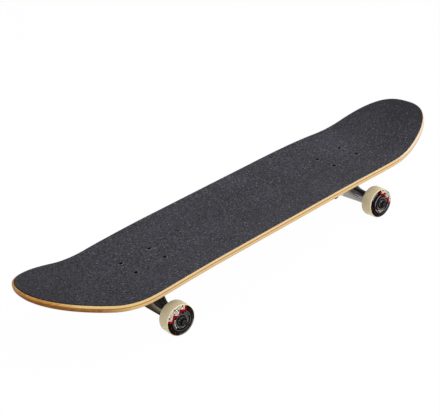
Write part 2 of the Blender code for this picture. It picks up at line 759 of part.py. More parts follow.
def hanger_mesh():
    """Lofts the casting's sections from end to end. Its origin is the pivot's centre."""
    ring_middle = (RING_RADIUS + RING_BORE) / 2
    stops = [0, ARM_RADIUS / 2, ARM_RADIUS, (ARM_RADIUS + ring_middle) / 2, ring_middle]
    stretch = (GUSSET_REACH - ring_middle) / GUSSET_STATIONS
    stops += [ring_middle + stretch * (i + 1) for i in range(GUSSET_STATIONS)]
    stops += [HANGER_END - AXLE_CHAMFER, HANGER_END]
    places = [-stop for stop in reversed(stops[1:])] + stops
    rings = [hanger_section(y) for y in places]
    shrink = 1 - AXLE_CHAMFER / HOUSING_END_RADIUS
    for k in (0, -1):
        rings[k] = [AXLE_CENTRE + (point - AXLE_CENTRE) * shrink for point in rings[k]]
        for point in rings[k]:
            point.y = places[k]
    caps = [[Vector((AXLE_CENTRE.x, places[k], AXLE_CENTRE.z))] for k in (0, -1)]
    mesh = mesh_of_rings("hanger", [caps[0]] + rings + [caps[1]])
    mesh.transform(Matrix.Translation(-PIVOT_CENTRE))
    return mesh


def build_hanger(end, truck, swing):
    """The hanger casting with its bushing ring, pivot nose, bushing seats and axle bore."""
    hanger = add_object(f"{end}_hanger", hanger_mesh(), "cast_metal", swing)
    half = RING_THICKNESS / 2
    ring = (
        (0, -half),
        (RING_RADIUS - AXLE_CHAMFER, -half),
        (RING_RADIUS, -half + AXLE_CHAMFER),
        (RING_RADIUS, half - AXLE_CHAMFER),
        (RING_RADIUS - AXLE_CHAMFER, half),
        (0, half),
    )
    join_shape(hanger, f"{end}_ring", turned("ring", ring), truck, KINGPIN_FRAME)
    root = -ARM_LENGTH - ARM_RADIUS / 2
    nose = [(0, root), (ARM_RADIUS, root), (ARM_RADIUS, -ARM_LENGTH)]
    nose += [(NOSE_NECK_RADIUS, -CUP_LIP - GAP - ARM_RADIUS / 2)]
    neck_turn = -acos(NOSE_NECK_RADIUS / NOSE_BALL_RADIUS)
    nose += arc(NOSE_BALL_RADIUS, neck_turn, pi / 2, BALL_STEPS)[:-1]
    nose += [(0, NOSE_BALL_RADIUS)]
    join_shape(hanger, f"{end}_pivot_nose", turned("pivot_nose", nose, SMALL_STEPS), truck, PIVOT_FRAME)
    far = KINGPIN_END + RING_THICKNESS
    board_room = max(BARREL_RADIUS, BOARD_WASHER_RADIUS, BOSS_RADIUS) + STACK_ROOM
    cone_room = max(CONE_RADIUS, ROAD_WASHER_RADIUS) + STACK_ROOM
    seat = max(BARREL_RADIUS, CONE_RADIUS) + GAP
    room = along_kingpin(
        (
            (0, -RING_DROP),
            (board_room, -RING_DROP),
            (board_room, -half),
            (seat, -half),
            (seat, -half + SEAT_DEPTH),
            (RING_BORE, -half + SEAT_DEPTH),
            (RING_BORE, half - SEAT_DEPTH),
            (seat, half - SEAT_DEPTH),
            (seat, half),
            (cone_room, half),
            (cone_room, far),
            (0, far),
        )
    )
    cut_shape(hanger, f"{end}_stack_room", turned("stack_room", room, SMALL_STEPS), truck, KINGPIN_FRAME)
    bore = ((0, -HANGER_WIDTH), (AXLE_BORE, -HANGER_WIDTH), (AXLE_BORE, HANGER_WIDTH), (0, HANGER_WIDTH))
    cut_shape(hanger, f"{end}_axle_bore", turned("axle_bore", bore, SMALL_STEPS), truck, AXLE_FRAME)


def axle_mesh():
    """The axle with its two inner speed washers, which the hanger's ends hold against the bearings."""
    half = AXLE_NUT + AXLE_NUT_HEIGHT + AXLE_TAIL
    washer = INNER_WASHER + SPEED_WASHER_THICKNESS
    side = [
        (AXLE_RADIUS, INNER_WASHER),
        (SPEED_WASHER_RADIUS, INNER_WASHER),
        (SPEED_WASHER_RADIUS, washer),
        (AXLE_RADIUS, washer),
        (AXLE_RADIUS, half - AXLE_CHAMFER),
        (AXLE_RADIUS - AXLE_CHAMFER, half),
        (0, half),
    ]
    return turned("axle", [(radius, -place) for radius, place in reversed(side)] + side, FASTENER_STEPS)


def wheel_mesh():
    """A wheel turned round Z: tread, rounded lips, sloping faces, bearing seats and core."""
    face = WHEEL_WIDTH / 2
    lip = []
    for i in range(LIP_STEPS + 1):
        turn = pi / 2 * i / LIP_STEPS
        radius = WHEEL_RADIUS - WHEEL_LIP * (1 - cos(turn))
        lip.append((radius, WHEEL_TREAD / 2 + WHEEL_LIP * sin(turn)))
    seat = BEARING_RADIUS + GAP
    core = CORE_WIDTH / 2
    side = lip + [(WHEEL_HUB_RADIUS, face), (seat, face), (seat, core), (CORE_BORE, core)]
    return turned("wheel", side + [(radius, -place) for radius, place in reversed(side)], ROUND_STEPS)


def bearing_mesh():
    """A shielded bearing turned round Z. Its shield faces +Z."""
    half = BEARING_WIDTH / 2
    inner = AXLE_BORE + BEARING_RING_WALL
    outer = BEARING_RADIUS - BEARING_RING_WALL
    profile = (
        (AXLE_BORE, -half),
        (BEARING_RADIUS, -half),
        (BEARING_RADIUS, half),
        (outer, half),
        (outer - SHIELD_RECESS, half - SHIELD_RECESS),
        (inner + SHIELD_RECESS, half - SHIELD_RECESS),
        (inner, half),
        (AXLE_BORE, half),
    )
    return turned("bearing", profile, FASTENER_STEPS)


def build_wheels(end, swing, meshes):
    """Both wheels of a truck, each with its bearings, outer washer and axle nut."""
    hands = (("left", -1), ("right", 1)) if end == "nose" else (("right", -1), ("left", 1))
    axle_place = AXLE_CENTRE - PIVOT_CENTRE
    for hand, side in hands:
        out = Matrix.Translation(axle_place) @ Matrix.Rotation(-side * pi / 2, 4, "X")
        hub = add_empty(f"{end}_{hand}_hub", swing, out @ Matrix.Translation((0, 0, WHEEL_MIDDLE)))
        add_object(f"{end}_{hand}_wheel", meshes["wheel"], "white_urethane", hub)
        offset = Matrix.Translation((0, 0, (CORE_WIDTH + BEARING_WIDTH) / 2 + GAP))
        inner = Matrix.Rotation(pi, 4, "X") @ offset
        add_object(f"{end}_{hand}_inner_bearing", meshes["bearing"], "bright_steel", hub, inner)
        add_object(f"{end}_{hand}_outer_bearing", meshes["bearing"], "bright_steel", hub, offset)
        place = out @ Matrix.Translation((0, 0, OUTER_WASHER))
        add_object(f"{end}_{hand}_speed_washer", meshes["washer"], "bright_steel", swing, place)
        place = out @ Matrix.Translation((0, 0, AXLE_NUT))
        add_object(f"{end}_{hand}_axle_nut", meshes["axle_nut"], "black_steel", swing, place)


def build_truck(end, side, meshes):
    """One truck. Its empty stands under the deck; one at the pivot carries all that steers."""
    place = Matrix.Translation((side * TRUCK_REACH + DECK_SHIFT, 0, UNDERSIDE))
    if side > 0:
        place = place @ Matrix.Rotation(pi, 4, "Z")
    truck = add_empty(f"{end}_truck", place=place)
    swing = add_empty(f"{end}_hanger_pivot", truck, Matrix.Translation(PIVOT_CENTRE))
    build_baseplate(end, truck)
    build_kingpin_stack(end, truck)
    build_hanger(end, truck, swing)
    axle_place = Matrix.Translation(-PIVOT_CENTRE) @ AXLE_FRAME
    add_object(f"{end}_axle", meshes["axle"], "black_steel", swing, axle_place)
    build_wheels(end, swing, meshes)


def build():
    build_deck()
    meshes = {
        "axle": axle_mesh(),
        "wheel": wheel_mesh(),
        "bearing": bearing_mesh(),
        "washer": washer_mesh("speed_washer", SPEED_WASHER_RADIUS, AXLE_BORE, SPEED_WASHER_THICKNESS),
        "axle_nut": nut_mesh("axle_nut", AXLE_NUT_ACROSS_FLATS, AXLE_BORE, AXLE_NUT_HEIGHT, AXLE_CHAMFER),
    }
    build_truck("nose", -1, meshes)
    build_truck("tail", 1, meshes)


clear_scene()
MATERIALS = {name: make_material(name) for name in FINISHES}
build()
bpy.context.view_layer.update()
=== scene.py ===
"""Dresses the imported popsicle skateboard: fine meshes and procedural finishes round the CAD frame.

Sizes repeat those of the part's source, in metres and in the same frame: +Z up, the nose along -X.
Left is -Y, as seen by a rider who faces the nose.
"""

import logging
from collections.abc import Callable, Iterable, Sequence
from dataclasses import dataclass, field
from enum import Enum, IntEnum
from math import acos, atan2, copysign, cos, degrees, pi, radians, sin, sqrt, tan, tau

import bmesh
import bpy
from bmesh.types import BMesh, BMVert
from bpy.types import Material, Mesh, Node, NodeSocket, Object
from mathutils import Matrix, Vector


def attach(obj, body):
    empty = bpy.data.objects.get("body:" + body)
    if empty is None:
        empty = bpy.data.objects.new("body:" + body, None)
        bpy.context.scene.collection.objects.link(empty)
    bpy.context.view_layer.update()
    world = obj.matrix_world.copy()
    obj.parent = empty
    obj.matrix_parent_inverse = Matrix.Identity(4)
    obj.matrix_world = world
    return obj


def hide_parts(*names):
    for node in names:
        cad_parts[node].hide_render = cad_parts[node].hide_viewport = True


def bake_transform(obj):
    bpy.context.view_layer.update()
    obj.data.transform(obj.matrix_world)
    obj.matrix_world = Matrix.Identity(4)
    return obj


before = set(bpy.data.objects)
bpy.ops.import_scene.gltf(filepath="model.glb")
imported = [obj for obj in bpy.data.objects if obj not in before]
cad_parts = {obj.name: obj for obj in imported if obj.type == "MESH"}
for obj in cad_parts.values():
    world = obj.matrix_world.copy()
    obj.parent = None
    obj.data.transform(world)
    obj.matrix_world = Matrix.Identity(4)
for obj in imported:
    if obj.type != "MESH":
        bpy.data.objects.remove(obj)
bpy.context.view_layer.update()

LOG = logging.getLogger("skateboard")
IMAGE_WIDTH = 440
ROOT = "root"
FULL_WEAR = radians(50)
UPSIDE_DOWN = Matrix.Rotation(pi, 4, "X")
NUT_FACE, NUT_COLLAR, NUT_CURVE = 0.95, 0.93, 0.4
NUT_SLOPE = tan(radians(30))
NUT_CHAMFER, NUT_STEP = 0.0004, 0.0002
NUT_MOUTH = ((0.0011, 0.0), (0.0008, 0.0003), (0.0004, 0.0006), (0.0, 0.0008))
# Bands of a hanger's normal for dirt and painted shade below, dust and painted shade above, and a painted
# highlight on the outward crest.
FACING_BANDS = ((3.0, -6.0), (-2.4, 5.0), (-6.0, 8.0))
RIDGE_RISE, RIDGE_FADE = 0.58, 8.0

Colour = tuple[float, float, float]
Profile = Sequence[tuple[float, float]]
Rim = Sequence[tuple[float, float, float]]


def srgb(red: int, green: int, blue: int) -> Colour:
    """Turns a screen colour into a linear one.

    Args:
        red: Red, from 0 to 255.
        green: Green, from 0 to 255.
        blue: Blue, from 0 to 255.

    Returns:
        The linear colour that a shader takes.
    """
    return tuple((value / 255) ** 2.2 for value in (red, green, blue))


class End(Enum):
    """The board's two ends."""

    NOSE = "nose"
    TAIL = "tail"

    @property
    def side(self) -> int:
        """The sign of X at this end."""
        return -1 if self is End.NOSE else 1


class Hand(Enum):
    """The board's two sides."""

    LEFT = "left"
    RIGHT = "right"

    @property
    def side(self) -> int:
        """The sign of Y on this side."""
        return -1 if self is Hand.LEFT else 1


class TreeKind(Enum):
    """What a node tree belongs to, by the name of its collection in Blender."""

    MATERIAL = "materials"
    WORLD = "worlds"
    GEOMETRY = "node_groups"


class Joint(Enum):
    """How one mesh is joined to another."""

    UNION = "UNION"
    CUT = "DIFFERENCE"


class Facets(IntEnum):
    """How many facets go round each kind of turned piece."""

    BOLT = 48
    AXLE = 64
    KINGPIN = 72
    BEARING = 96
    WHEEL = 128


def operator(operation: str, swapped: bool = False) -> Callable[["Field", "Value"], "Field"]:
    """Makes a field's method for an operation on it and another value.

    Args:
        operation: The Math node's operation.
        swapped: Whether the other value comes first.

    Returns:
        The method.
    """

    def method(self: "Field", other: "Value") -> "Field":
        """Adds the operation's Math node."""
        return self.wiring.math(operation, *((other, self) if swapped else (self, other)))

    return method


class Field:
    """A socket that takes part in arithmetic, so that a formula made of nodes reads as one."""

    __add__ = __radd__ = operator("ADD")
    __sub__, __rsub__ = operator("SUBTRACT"), operator("SUBTRACT", swapped=True)
    __mul__ = __rmul__ = operator("MULTIPLY")
    __truediv__, __pow__ = operator("DIVIDE"), operator("POWER")
    above, below = operator("GREATER_THAN"), operator("LESS_THAN")

    def __init__(self, wiring: "Wiring", socket: NodeSocket) -> None:
        """Wraps an output socket of the wiring's tree."""
        self.wiring = wiring
        self.socket = socket

    def math(self, operation: str, *others: "Value") -> "Field":
        """Adds a Math node whose first value is this one."""
        return self.wiring.math(operation, self, *others)

    def __neg__(self) -> "Field":
        """This value with its sign turned."""
        return self * -1.0

    def between(self, low: float, high: float) -> "Field":
        """One where this value lies between two others."""
        return self.above(low) * self.below(high)

    def near(self, middle: float, reach: float) -> "Field":
        """One where this value lies within a reach of a middle."""
        return (self - middle).math("ABSOLUTE").below(reach)

    def off_middle(self) -> "Field":
        """How far this value's fraction lies from one half."""
        return (self.math("FRACT") - 0.5).math("ABSOLUTE")

    def fold(self) -> "Field":
        """A zigzag of this value: nothing at whole numbers and one half way between them."""
        return self.off_middle() * -2.0 + 1.0


Value = float | Field


def calculate(operation: str, plain: Callable[..., float], *values: Value) -> Value:
    """Applies an operation to plain numbers, or adds a Math node where one of them is a field.

    Args:
        operation: The Math node's operation.
        plain: The function that does the same for numbers.
        *values: One or two values.

    Returns:
        A number where every value is one, and a field otherwise.
    """
    fields = [value for value in values if isinstance(value, Field)]
    if not fields:
        return plain(*values)
    return fields[0].wiring.math(operation, *values)


def larger(first: Value, second: Value) -> Value:
    """The larger of two values."""
    return calculate("MAXIMUM", max, first, second)


def smaller(first: Value, second: Value) -> Value:
    """The smaller of two values."""
    return calculate("MINIMUM", min, first, second)


def root(value: Value) -> Value:
    """A value's square root."""
    return calculate("SQRT", sqrt, value)


def size_of(value: Value) -> Value:
    """A value without its sign."""
    return calculate("ABSOLUTE", abs, value)


def eased(value: Value) -> Value:
    """A value held between nothing and one, eased at both ends."""
    held = larger(smaller(value, 1.0), 0.0)
    return held * held * (3.0 - 2.0 * held)


class Wiring:
    """Adds nodes to a tree and joins them by value."""

    def __init__(self, name: str, kind: TreeKind) -> None:
        """Starts a tree.

        Args:
            name: The name of the material, the world or the node group.
            kind: What the tree belongs to.
        """
        self.kind = kind
        self.inputs: dict[str, str] = {}
        if kind is TreeKind.GEOMETRY:
            self.tree = bpy.data.node_groups.new(name, "GeometryNodeTree")
            self.tree.is_modifier = True
            return
        self.owner = getattr(bpy.data, kind.value).new(name)
        self.owner.use_nodes = True
        self.tree = self.owner.node_tree
        self.tree.nodes.clear()

    def add(self, kind: str, values: dict | None = None, **settings: object) -> Node:
        """Adds a node.

        Args:
            kind: The node's class name.
            values: What its input sockets take, by name or number: a field, a socket or a constant.
            **settings: The node's own properties.

        Returns:
            The node.
        """
        node = self.tree.nodes.new(kind)
        for name, setting in settings.items():
            setattr(node, name, setting)
        for key, value in (values or {}).items():
            value = value.socket if isinstance(value, Field) else value
            if isinstance(value, NodeSocket):
                self.tree.links.new(value, node.inputs[key])
            else:
                node.inputs[key].default_value = value
        return node

    def math(self, operation: str, *values: Value) -> Field:
        """Adds a Math node and returns its result as a field."""
        node = self.add("ShaderNodeMath", dict(enumerate(values)), operation=operation)
        return Field(self, node.outputs[0])

    def parts(self, vector: NodeSocket) -> tuple[Field, Field, Field]:
        """Splits a vector into its three fields."""
        node = self.add("ShaderNodeSeparateXYZ", {0: vector})
        return tuple(Field(self, socket) for socket in node.outputs)

    def vector(self, x: Value, y: Value, z: Value) -> NodeSocket:
        """Joins three values into a vector."""
        return self.add("ShaderNodeCombineXYZ", {0: x, 1: y, 2: z}).outputs[0]

    def size_input(self, name: str, value: float) -> Field:
        """Adds a named size to a geometry tree's inputs and returns it as a field.

        Args:
            name: The input's name.
            value: Its default value.

        Returns:
            The input as a field.
        """
        socket = self.tree.interface.new_socket(name, in_out="INPUT", socket_type="NodeSocketFloat")
        socket.default_value = value
        self.inputs[name] = socket.identifier
        return Field(self, self.tree.nodes["Group Input"].outputs[name])

    def open_group(self, *others: tuple[str, str]) -> None:
        """Gives a geometry tree its mesh input, its material input and any others.

        Args:
            *others: The name and the socket class of each further input.
        """
        face = self.tree.interface
        face.new_socket("Mesh", in_out="INPUT", socket_type="NodeSocketGeometry")
        face.new_socket("Mesh", in_out="OUTPUT", socket_type="NodeSocketGeometry")
        for name, kind in (("Finish", "NodeSocketMaterial"), *others):
            socket = face.new_socket(name, in_out="INPUT", socket_type=kind)
            self.inputs[name] = socket.identifier
        self.tree.nodes.new("NodeGroupInput")

    def given(self, name: str) -> NodeSocket:
        """One of the group's inputs."""
        return self.tree.nodes["Group Input"].outputs[name]

    def close_group(self, geometry: NodeSocket) -> None:
        """Ends a geometry tree by realizing instances and setting the material.

        Args:
            geometry: The socket that gives the tree's result.
        """
        real = self.add("GeometryNodeRealizeInstances", {0: geometry}).outputs[0]
        dressed = self.add("GeometryNodeSetMaterial", {"Geometry": real, "Material": self.given("Finish")})
        self.add("NodeGroupOutput", {0: dressed.outputs[0]})

    def object_point(self, scale: tuple[float, float, float] = (1, 1, 1)) -> NodeSocket:
        """The point on the object, stretched along each axis."""
        point = self.add("ShaderNodeTexCoord").outputs["Object"]
        return self.add("ShaderNodeMapping", {"Vector": point, "Scale": scale}).outputs[0]

    def noise(
        self, point: NodeSocket, scale: float, detail: float = 3, rough: float = 0.5
    ) -> Field:
        """Smooth noise, from nothing to one."""
        values = {"Vector": point, "Scale": scale, "Detail": detail, "Roughness": rough}
        return Field(self, self.add("ShaderNodeTexNoise", values).outputs[0])

    def cells(self, point: NodeSocket, scale: float) -> tuple[Field, Field]:
        """Scattered cells: the distance from each one's middle, and a random value for each.

        Args:
            point: Where the pattern is read.
            scale: Cells to a metre.

        Returns:
            The distance and the value.
        """
        node = self.add("ShaderNodeTexVoronoi", {"Vector": point, "Scale": scale})
        red = self.add("ShaderNodeSeparateColor", {0: node.outputs["Color"]}).outputs[0]
        return Field(self, node.outputs["Distance"]), Field(self, red)

    def marked(self, name: str) -> Field:
        """A value stored on the mesh's points."""
        return Field(self, self.add("ShaderNodeAttribute", attribute_name=name).outputs["Fac"])

    def ramp(self, value: Value, low: float, high: float) -> Field:
        """A value stretched so that low gives nothing and high gives one, and held there."""
        node = self.add("ShaderNodeMapRange", {0: value, 1: low, 2: high}, clamp=True)
        return Field(self, node.outputs[0])

    def blend(self, share: Value, first: object, second: object) -> NodeSocket:
        """Mixes two colours.

        Args:
            share: How much of the second.
            first: A linear colour or a socket.
            second: A linear colour or a socket.

        Returns:
            The mixed colour.
        """
        first, second = ((*value, 1.0) if isinstance(value, tuple) else value for value in (first, second))
        return self.add("ShaderNodeMix", {0: share, 6: first, 7: second}, data_type="RGBA").outputs[2]

    def layered(self, base: object, *layers: tuple[Value, object]) -> NodeSocket:
        """Lays colours over one another.

        Args:
            base: The lowest colour, linear or a socket.
            *layers: The share and the colour of each layer, from the lowest to the top.

        Returns:
            The colour that shows.
        """
        for share, colour in layers:
            base = self.blend(share, base, colour)
        return base

    def bump(self, height: Field, depth: float, strength: float = 1.0) -> NodeSocket:
        """Turns a height from nothing to one into a bump of that depth in metres."""
        values = {"Height": height, "Distance": depth, "Strength": strength}
        return self.add("ShaderNodeBump", values).outputs[0]

    def surface(self, **values: object) -> Material:
        """Ends a material with its shader.

        Args:
            **values: The shader's inputs, with underscores for spaces.

        Returns:
            The material.
        """
        named = {key.replace("_", " "): value for key, value in values.items()}
        colours = {key: (*value, 1.0) for key, value in named.items() if isinstance(value, tuple)}
        shader = self.add("ShaderNodeBsdfPrincipled", {**named, **colours})
        self.add("ShaderNodeOutputMaterial", {0: shader.outputs[0]})
        return self.owner

    def seen_white(self) -> Field:
        """One for the rays to which the studio is plain white: camera, glossy and transmission rays.

        Returns:
            The field.
        """
        rays = self.add("ShaderNodeLightPath").outputs
        kinds = ("Is Camera Ray", "Is Glossy Ray", "Is Transmission Ray")
        straight, glossy, through = (Field(self, rays[kind]) for kind in kinds)
        return larger(larger(straight, glossy), through)


@dataclass(frozen=True)
class Finish:
    """What every finish shares: a name, the record's slot, and a material made once."""

    name: str
    slot: str

    def material(self) -> Material:
        """The finish's material, made the first time it is asked for."""
        return bpy.data.materials.get(self.name) or self.make(Wiring(self.name, TreeKind.MATERIAL))

    def make(self, wiring: Wiring) -> Material:
        """Builds the material's nodes."""
        raise NotImplementedError


@dataclass(frozen=True)
class Grit(Finish):
    """Black grip tape: packed mineral grains on a dark film, with a few bright faces among them and painted
    shade towards both tips.
    """

    dark: Colour = srgb(10, 10, 13)
    light: Colour = srgb(80, 79, 87)
    glint: Colour = srgb(151, 149, 153)
    grain: float = 0.0007
    fleck: float = 0.0015

    def make(self, wiring: Wiring) -> Material:
        """Builds grains, larger flecks, slow changes of tone and painted shade towards the tips.

        Args:
            wiring: The material's tree.

        Returns:
            The material.
        """
        point = wiring.object_point()
        distance, tone = wiring.cells(point, 1 / self.grain)
        _, fleck = wiring.cells(point, 1 / self.fleck)
        mottle = wiring.ramp(wiring.noise(point, 390, 2, 0.7), 0.38, 0.62)
        slow = wiring.noise(point, 14, 3)
        tips = wiring.marked("tip")
        depth = larger(tips, 0.0) * -0.32 + larger(-tips, 0.0) * 0.3 + 0.66
        shade = tone * 0.2 + (mottle - 0.5) * depth + slow * 0.42 + 0.24
        # Painted shade: the tape's tone and flecks darken towards the kicked ends, where less light falls.
        tip_shade = wiring.ramp(size_of(tips), 0.0, 0.9) * -0.42 + 1.0
        bright = (wiring.ramp(fleck, 0.94, 1.0) * 0.5 + tone.above(0.98) * 0.4) * tip_shade
        dull = wiring.ramp(shade, 0.0, 1.1) * tip_shade
        return wiring.surface(
            Base_Color=wiring.layered(self.dark, (dull, self.light), (bright, self.glint)),
            Roughness=wiring.ramp(tone, 0.0, 1.0) * -0.2 + 0.95,
            Specular_IOR_Level=0.15,
            Normal=wiring.bump((1.0 - distance) * (tone * 0.6 + 0.4), 0.00018, 0.8),
        )


@dataclass(frozen=True)
class MapleFace(Finish):
    """Maple plies that show at the edge, under a dark-stained veneer with its grain along the board."""

    pale: Colour = srgb(219, 188, 134)
    warm: Colour = srgb(199, 163, 102)
    painted_light: Colour = srgb(226, 210, 188)
    cross_grain: Colour = srgb(159, 108, 56)
    end_pale: Colour = srgb(206, 148, 74)
    end_dark: Colour = srgb(121, 67, 15)
    stain: Colour = srgb(32, 24, 21)
    deep_stain: Colour = srgb(20, 16, 15)
    plies: float = 7.0

    def make(self, wiring: Wiring) -> Material:
        """Builds the veneer's figure and the seven plies, with end grain and painted shade at the nose and
        painted light towards the tail.

        Args:
            wiring: The material's tree.

        Returns:
            The material.
        """
        figure = wiring.noise(wiring.object_point((1.6, 34, 34)), 6, 5, 0.6)
        fibre = wiring.noise(wiring.object_point((14, 420, 420)), 5, 3, 0.6)
        cloud = wiring.noise(wiring.object_point((1, 3, 3)), 5, 3)
        shade = wiring.ramp(figure * 0.5 + fibre * 0.25 + cloud * 0.25, 0.34, 0.66)
        veneer = wiring.layered(self.stain, (fibre * 0.3, self.deep_stain), (shade * 0.25, self.end_dark))
        grain = wiring.ramp(wiring.noise(wiring.object_point((55, 55, 420)), 2, 3, 0.7), 0.3, 0.7)
        share, tips = wiring.marked("depth"), wiring.marked("tip")
        depth = share * self.plies
        tail, far_tail = wiring.ramp(tips, 0.0, 0.4), wiring.ramp(tips, 0.1, 0.5)
        # The lower plies near the nose, marked for painted shade.
        nose_lower_shade = wiring.ramp(depth, 2.0, 3.2) * wiring.ramp(-tips, 0.3, 0.6)
        edge = wiring.layered(
            self.pale,
            (grain * 0.7, self.warm),
            # Painted light: the edge grows paler towards the tail, which faces the lamp.
            (wiring.ramp(tips, -0.1, 0.35) * 0.9, self.painted_light),
            (wiring.ramp(depth, 3.0, 5.0) * (tail * 0.3 + 0.42), self.warm),
            (depth.near(2.6, 0.6) * (0.85 - tail * 0.6), self.cross_grain),
            (depth.near(4.0, 0.5) * far_tail * 0.5, self.cross_grain),
            (wiring.ramp(depth, 1.2, 0.4) * far_tail * 0.4, self.end_pale),
            # The nose's tip: end grain, darkened further by painted shade.
            (wiring.ramp(-tips, 0.78, 1.02), wiring.blend(grain * 0.75, self.end_pale, self.end_dark)),
            # Painted shade on the lower plies at the nose.
            (nose_lower_shade * (grain * 0.45 + 0.6), self.end_dark),
            (depth.off_middle().above(0.44) * 0.3, self.end_dark),
        )
        return wiring.surface(
            Base_Color=wiring.blend(share.between(0.004, 0.996), veneer, edge),
            Roughness=fibre * 0.15 + 0.33,
            Normal=wiring.bump(fibre * 0.6 + grain * 0.4, 0.00005, 0.5),
            Specular_IOR_Level=0.08,
            Coat_Weight=0.02,
            Coat_Roughness=0.25,
        )


@dataclass(frozen=True)
class CastMetal(Finish):
    """A tumbled aluminium casting: dull, faintly grained, brighter on worn edges, with dust, dirt and
    painted shade by the way a hanger's faces turn, and a painted highlight on its outward crest.
    """

    dull: Colour = srgb(136, 133, 130)
    clean: Colour = srgb(176, 174, 170)
    bare: Colour = srgb(215, 213, 208)
    # Besides dirt and dust, these colours paint shade on a hanger's lower and upper faces and a highlight
    # along its outward crest.
    grime_and_shade: Colour = srgb(92, 82, 66)
    dust: Colour = srgb(104, 102, 112)
    painted_deep_shade: Colour = srgb(30, 28, 32)
    ridge: Colour = srgb(214, 204, 188)
    rough: float = 0.24
    soiled_and_shaded: float = 0.2
    dusted_and_shaded: float = 0.0
    rub_and_sheen: float = 0.0
    rim_tint: Colour = srgb(255, 255, 255)
    sheen: float = 0.1

    def make(self, wiring: Wiring) -> Material:
        """Builds the skin's grain, its stains, its dust and dirt with painted shade, its worn edges and a
        painted highlight on the crest.

        Args:
            wiring: The material's tree.

        Returns:
            The material.
        """
        point = wiring.object_point()
        skin = wiring.noise(point, 900, 3, 0.6)
        stain = wiring.noise(point, 55, 5, 0.65)
        pits, _ = wiring.cells(point, 620)
        worn = wiring.ramp(wiring.marked("wear") + stain * 0.5, 0.5, 0.95)
        shade = wiring.ramp(stain * 0.6 + skin * 0.4, 0.3, 0.7)
        facing = wiring.marked("facing")
        # Dirt and painted shade darken the faces that turn down, standing in for the shaded floor that they
        # reflect.
        grime_and_shade = larger(-facing, 0.0) * (wiring.ramp(stain, 0.35, 0.65) * 0.4 + 0.65) * self.soiled_and_shaded
        # Dust and painted shade lie on the faces that turn up under the deck.
        dust = smaller(larger(facing, 0.0), 1.0) * self.dusted_and_shaded
        # A painted highlight along the outward crest, standing in for the light that it reflects.
        ridge = wiring.marked("ridge") * self.rub_and_sheen
        colour = wiring.layered(
            self.dull,
            (shade * 0.45, self.clean),
            (smaller(grime_and_shade, 1.0), self.grime_and_shade),
            (dust, self.dust),
            # Painted deep shade on the faces that turn up most.
            (larger(facing - 1.0, 0.0) * dust, self.painted_deep_shade),
            (worn * 0.8, self.bare),
            (ridge, self.ridge),
        )
        return wiring.surface(
            Base_Color=colour,
            # The metal gives way to diffuse colour under the dust and painted shade, and wholly on the
            # painted highlight.
            Metallic=(smaller(dust * 1.2, 1.0) * -0.9 + 0.9) * (ridge * -1.0 + 1.0),
            Specular_IOR_Level=self.sheen,
            Specular_Tint=self.rim_tint,
            Roughness=shade * -0.12 + worn * -0.12 + self.rough + 0.08,
            Normal=wiring.bump(skin * 0.7 + pits * 0.3, 0.0001, 0.6),
        )


@dataclass(frozen=True)
class Steel(Finish):
    """Bright or blackened steel, with fine tool marks and worn edges."""

    colour: Colour = srgb(196, 196, 192)
    worn_colour: Colour = srgb(225, 224, 220)
    socket_shade: Colour = srgb(10, 9, 9)
    metal: float = 1.0
    rough: float = 0.26
    shine: float = 0.5
    wear_from: float = 0.6

    def make(self, wiring: Wiring) -> Material:
        """Builds smudges, tool marks, worn edges and painted shade in marked hollows.

        Args:
            wiring: The material's tree.

        Returns:
            The material.
        """
        point = wiring.object_point()
        smudge = wiring.noise(point, 140, 4, 0.6)
        mark = wiring.noise(point, 1500, 2, 0.6)
        worn = wiring.ramp(wiring.marked("wear") + smudge * 0.6, self.wear_from, self.wear_from + 0.4)
        colour = wiring.layered(
            tuple(value * 0.72 for value in self.colour),
            (wiring.ramp(smudge, 0.35, 0.7), self.colour),
            (worn * 0.75, self.worn_colour),
            # Painted shade in the bolt's socket.
            (wiring.marked("deep"), self.socket_shade),
        )
        return wiring.surface(
            Base_Color=colour,
            Metallic=self.metal,
            Roughness=smudge * 0.2 + mark * 0.12 + self.rough - 0.12,
            Specular_IOR_Level=self.shine,
            Normal=wiring.bump(mark, 0.00002, 0.4),
        )


@dataclass(frozen=True)
class Urethane(Finish):
    """Cast urethane: an even body colour with faint clouds and a satin skin."""

    colour: Colour = srgb(243, 228, 188)
    cloud: Colour = srgb(228, 204, 150)
    rough: float = 0.4

    def body(self, wiring: Wiring) -> NodeSocket:
        """The body colour with its clouds."""
        cloud = wiring.ramp(wiring.noise(wiring.object_point(), 60, 4, 0.6), 0.35, 0.75)
        return wiring.blend(cloud * 0.6, self.colour, self.cloud)

    def skin(self, wiring: Wiring) -> tuple[Field, NodeSocket]:
        """The skin's roughness and its bump."""
        fine = wiring.noise(wiring.object_point(), 1300, 3, 0.6)
        return fine * 0.14 + self.rough - 0.05, wiring.bump(fine, 0.00003, 0.5)

    def make(self, wiring: Wiring) -> Material:
        """Builds the plain urethane."""
        rough, normal = self.skin(wiring)
        return wiring.surface(Base_Color=self.body(wiring), Roughness=rough, Normal=normal)


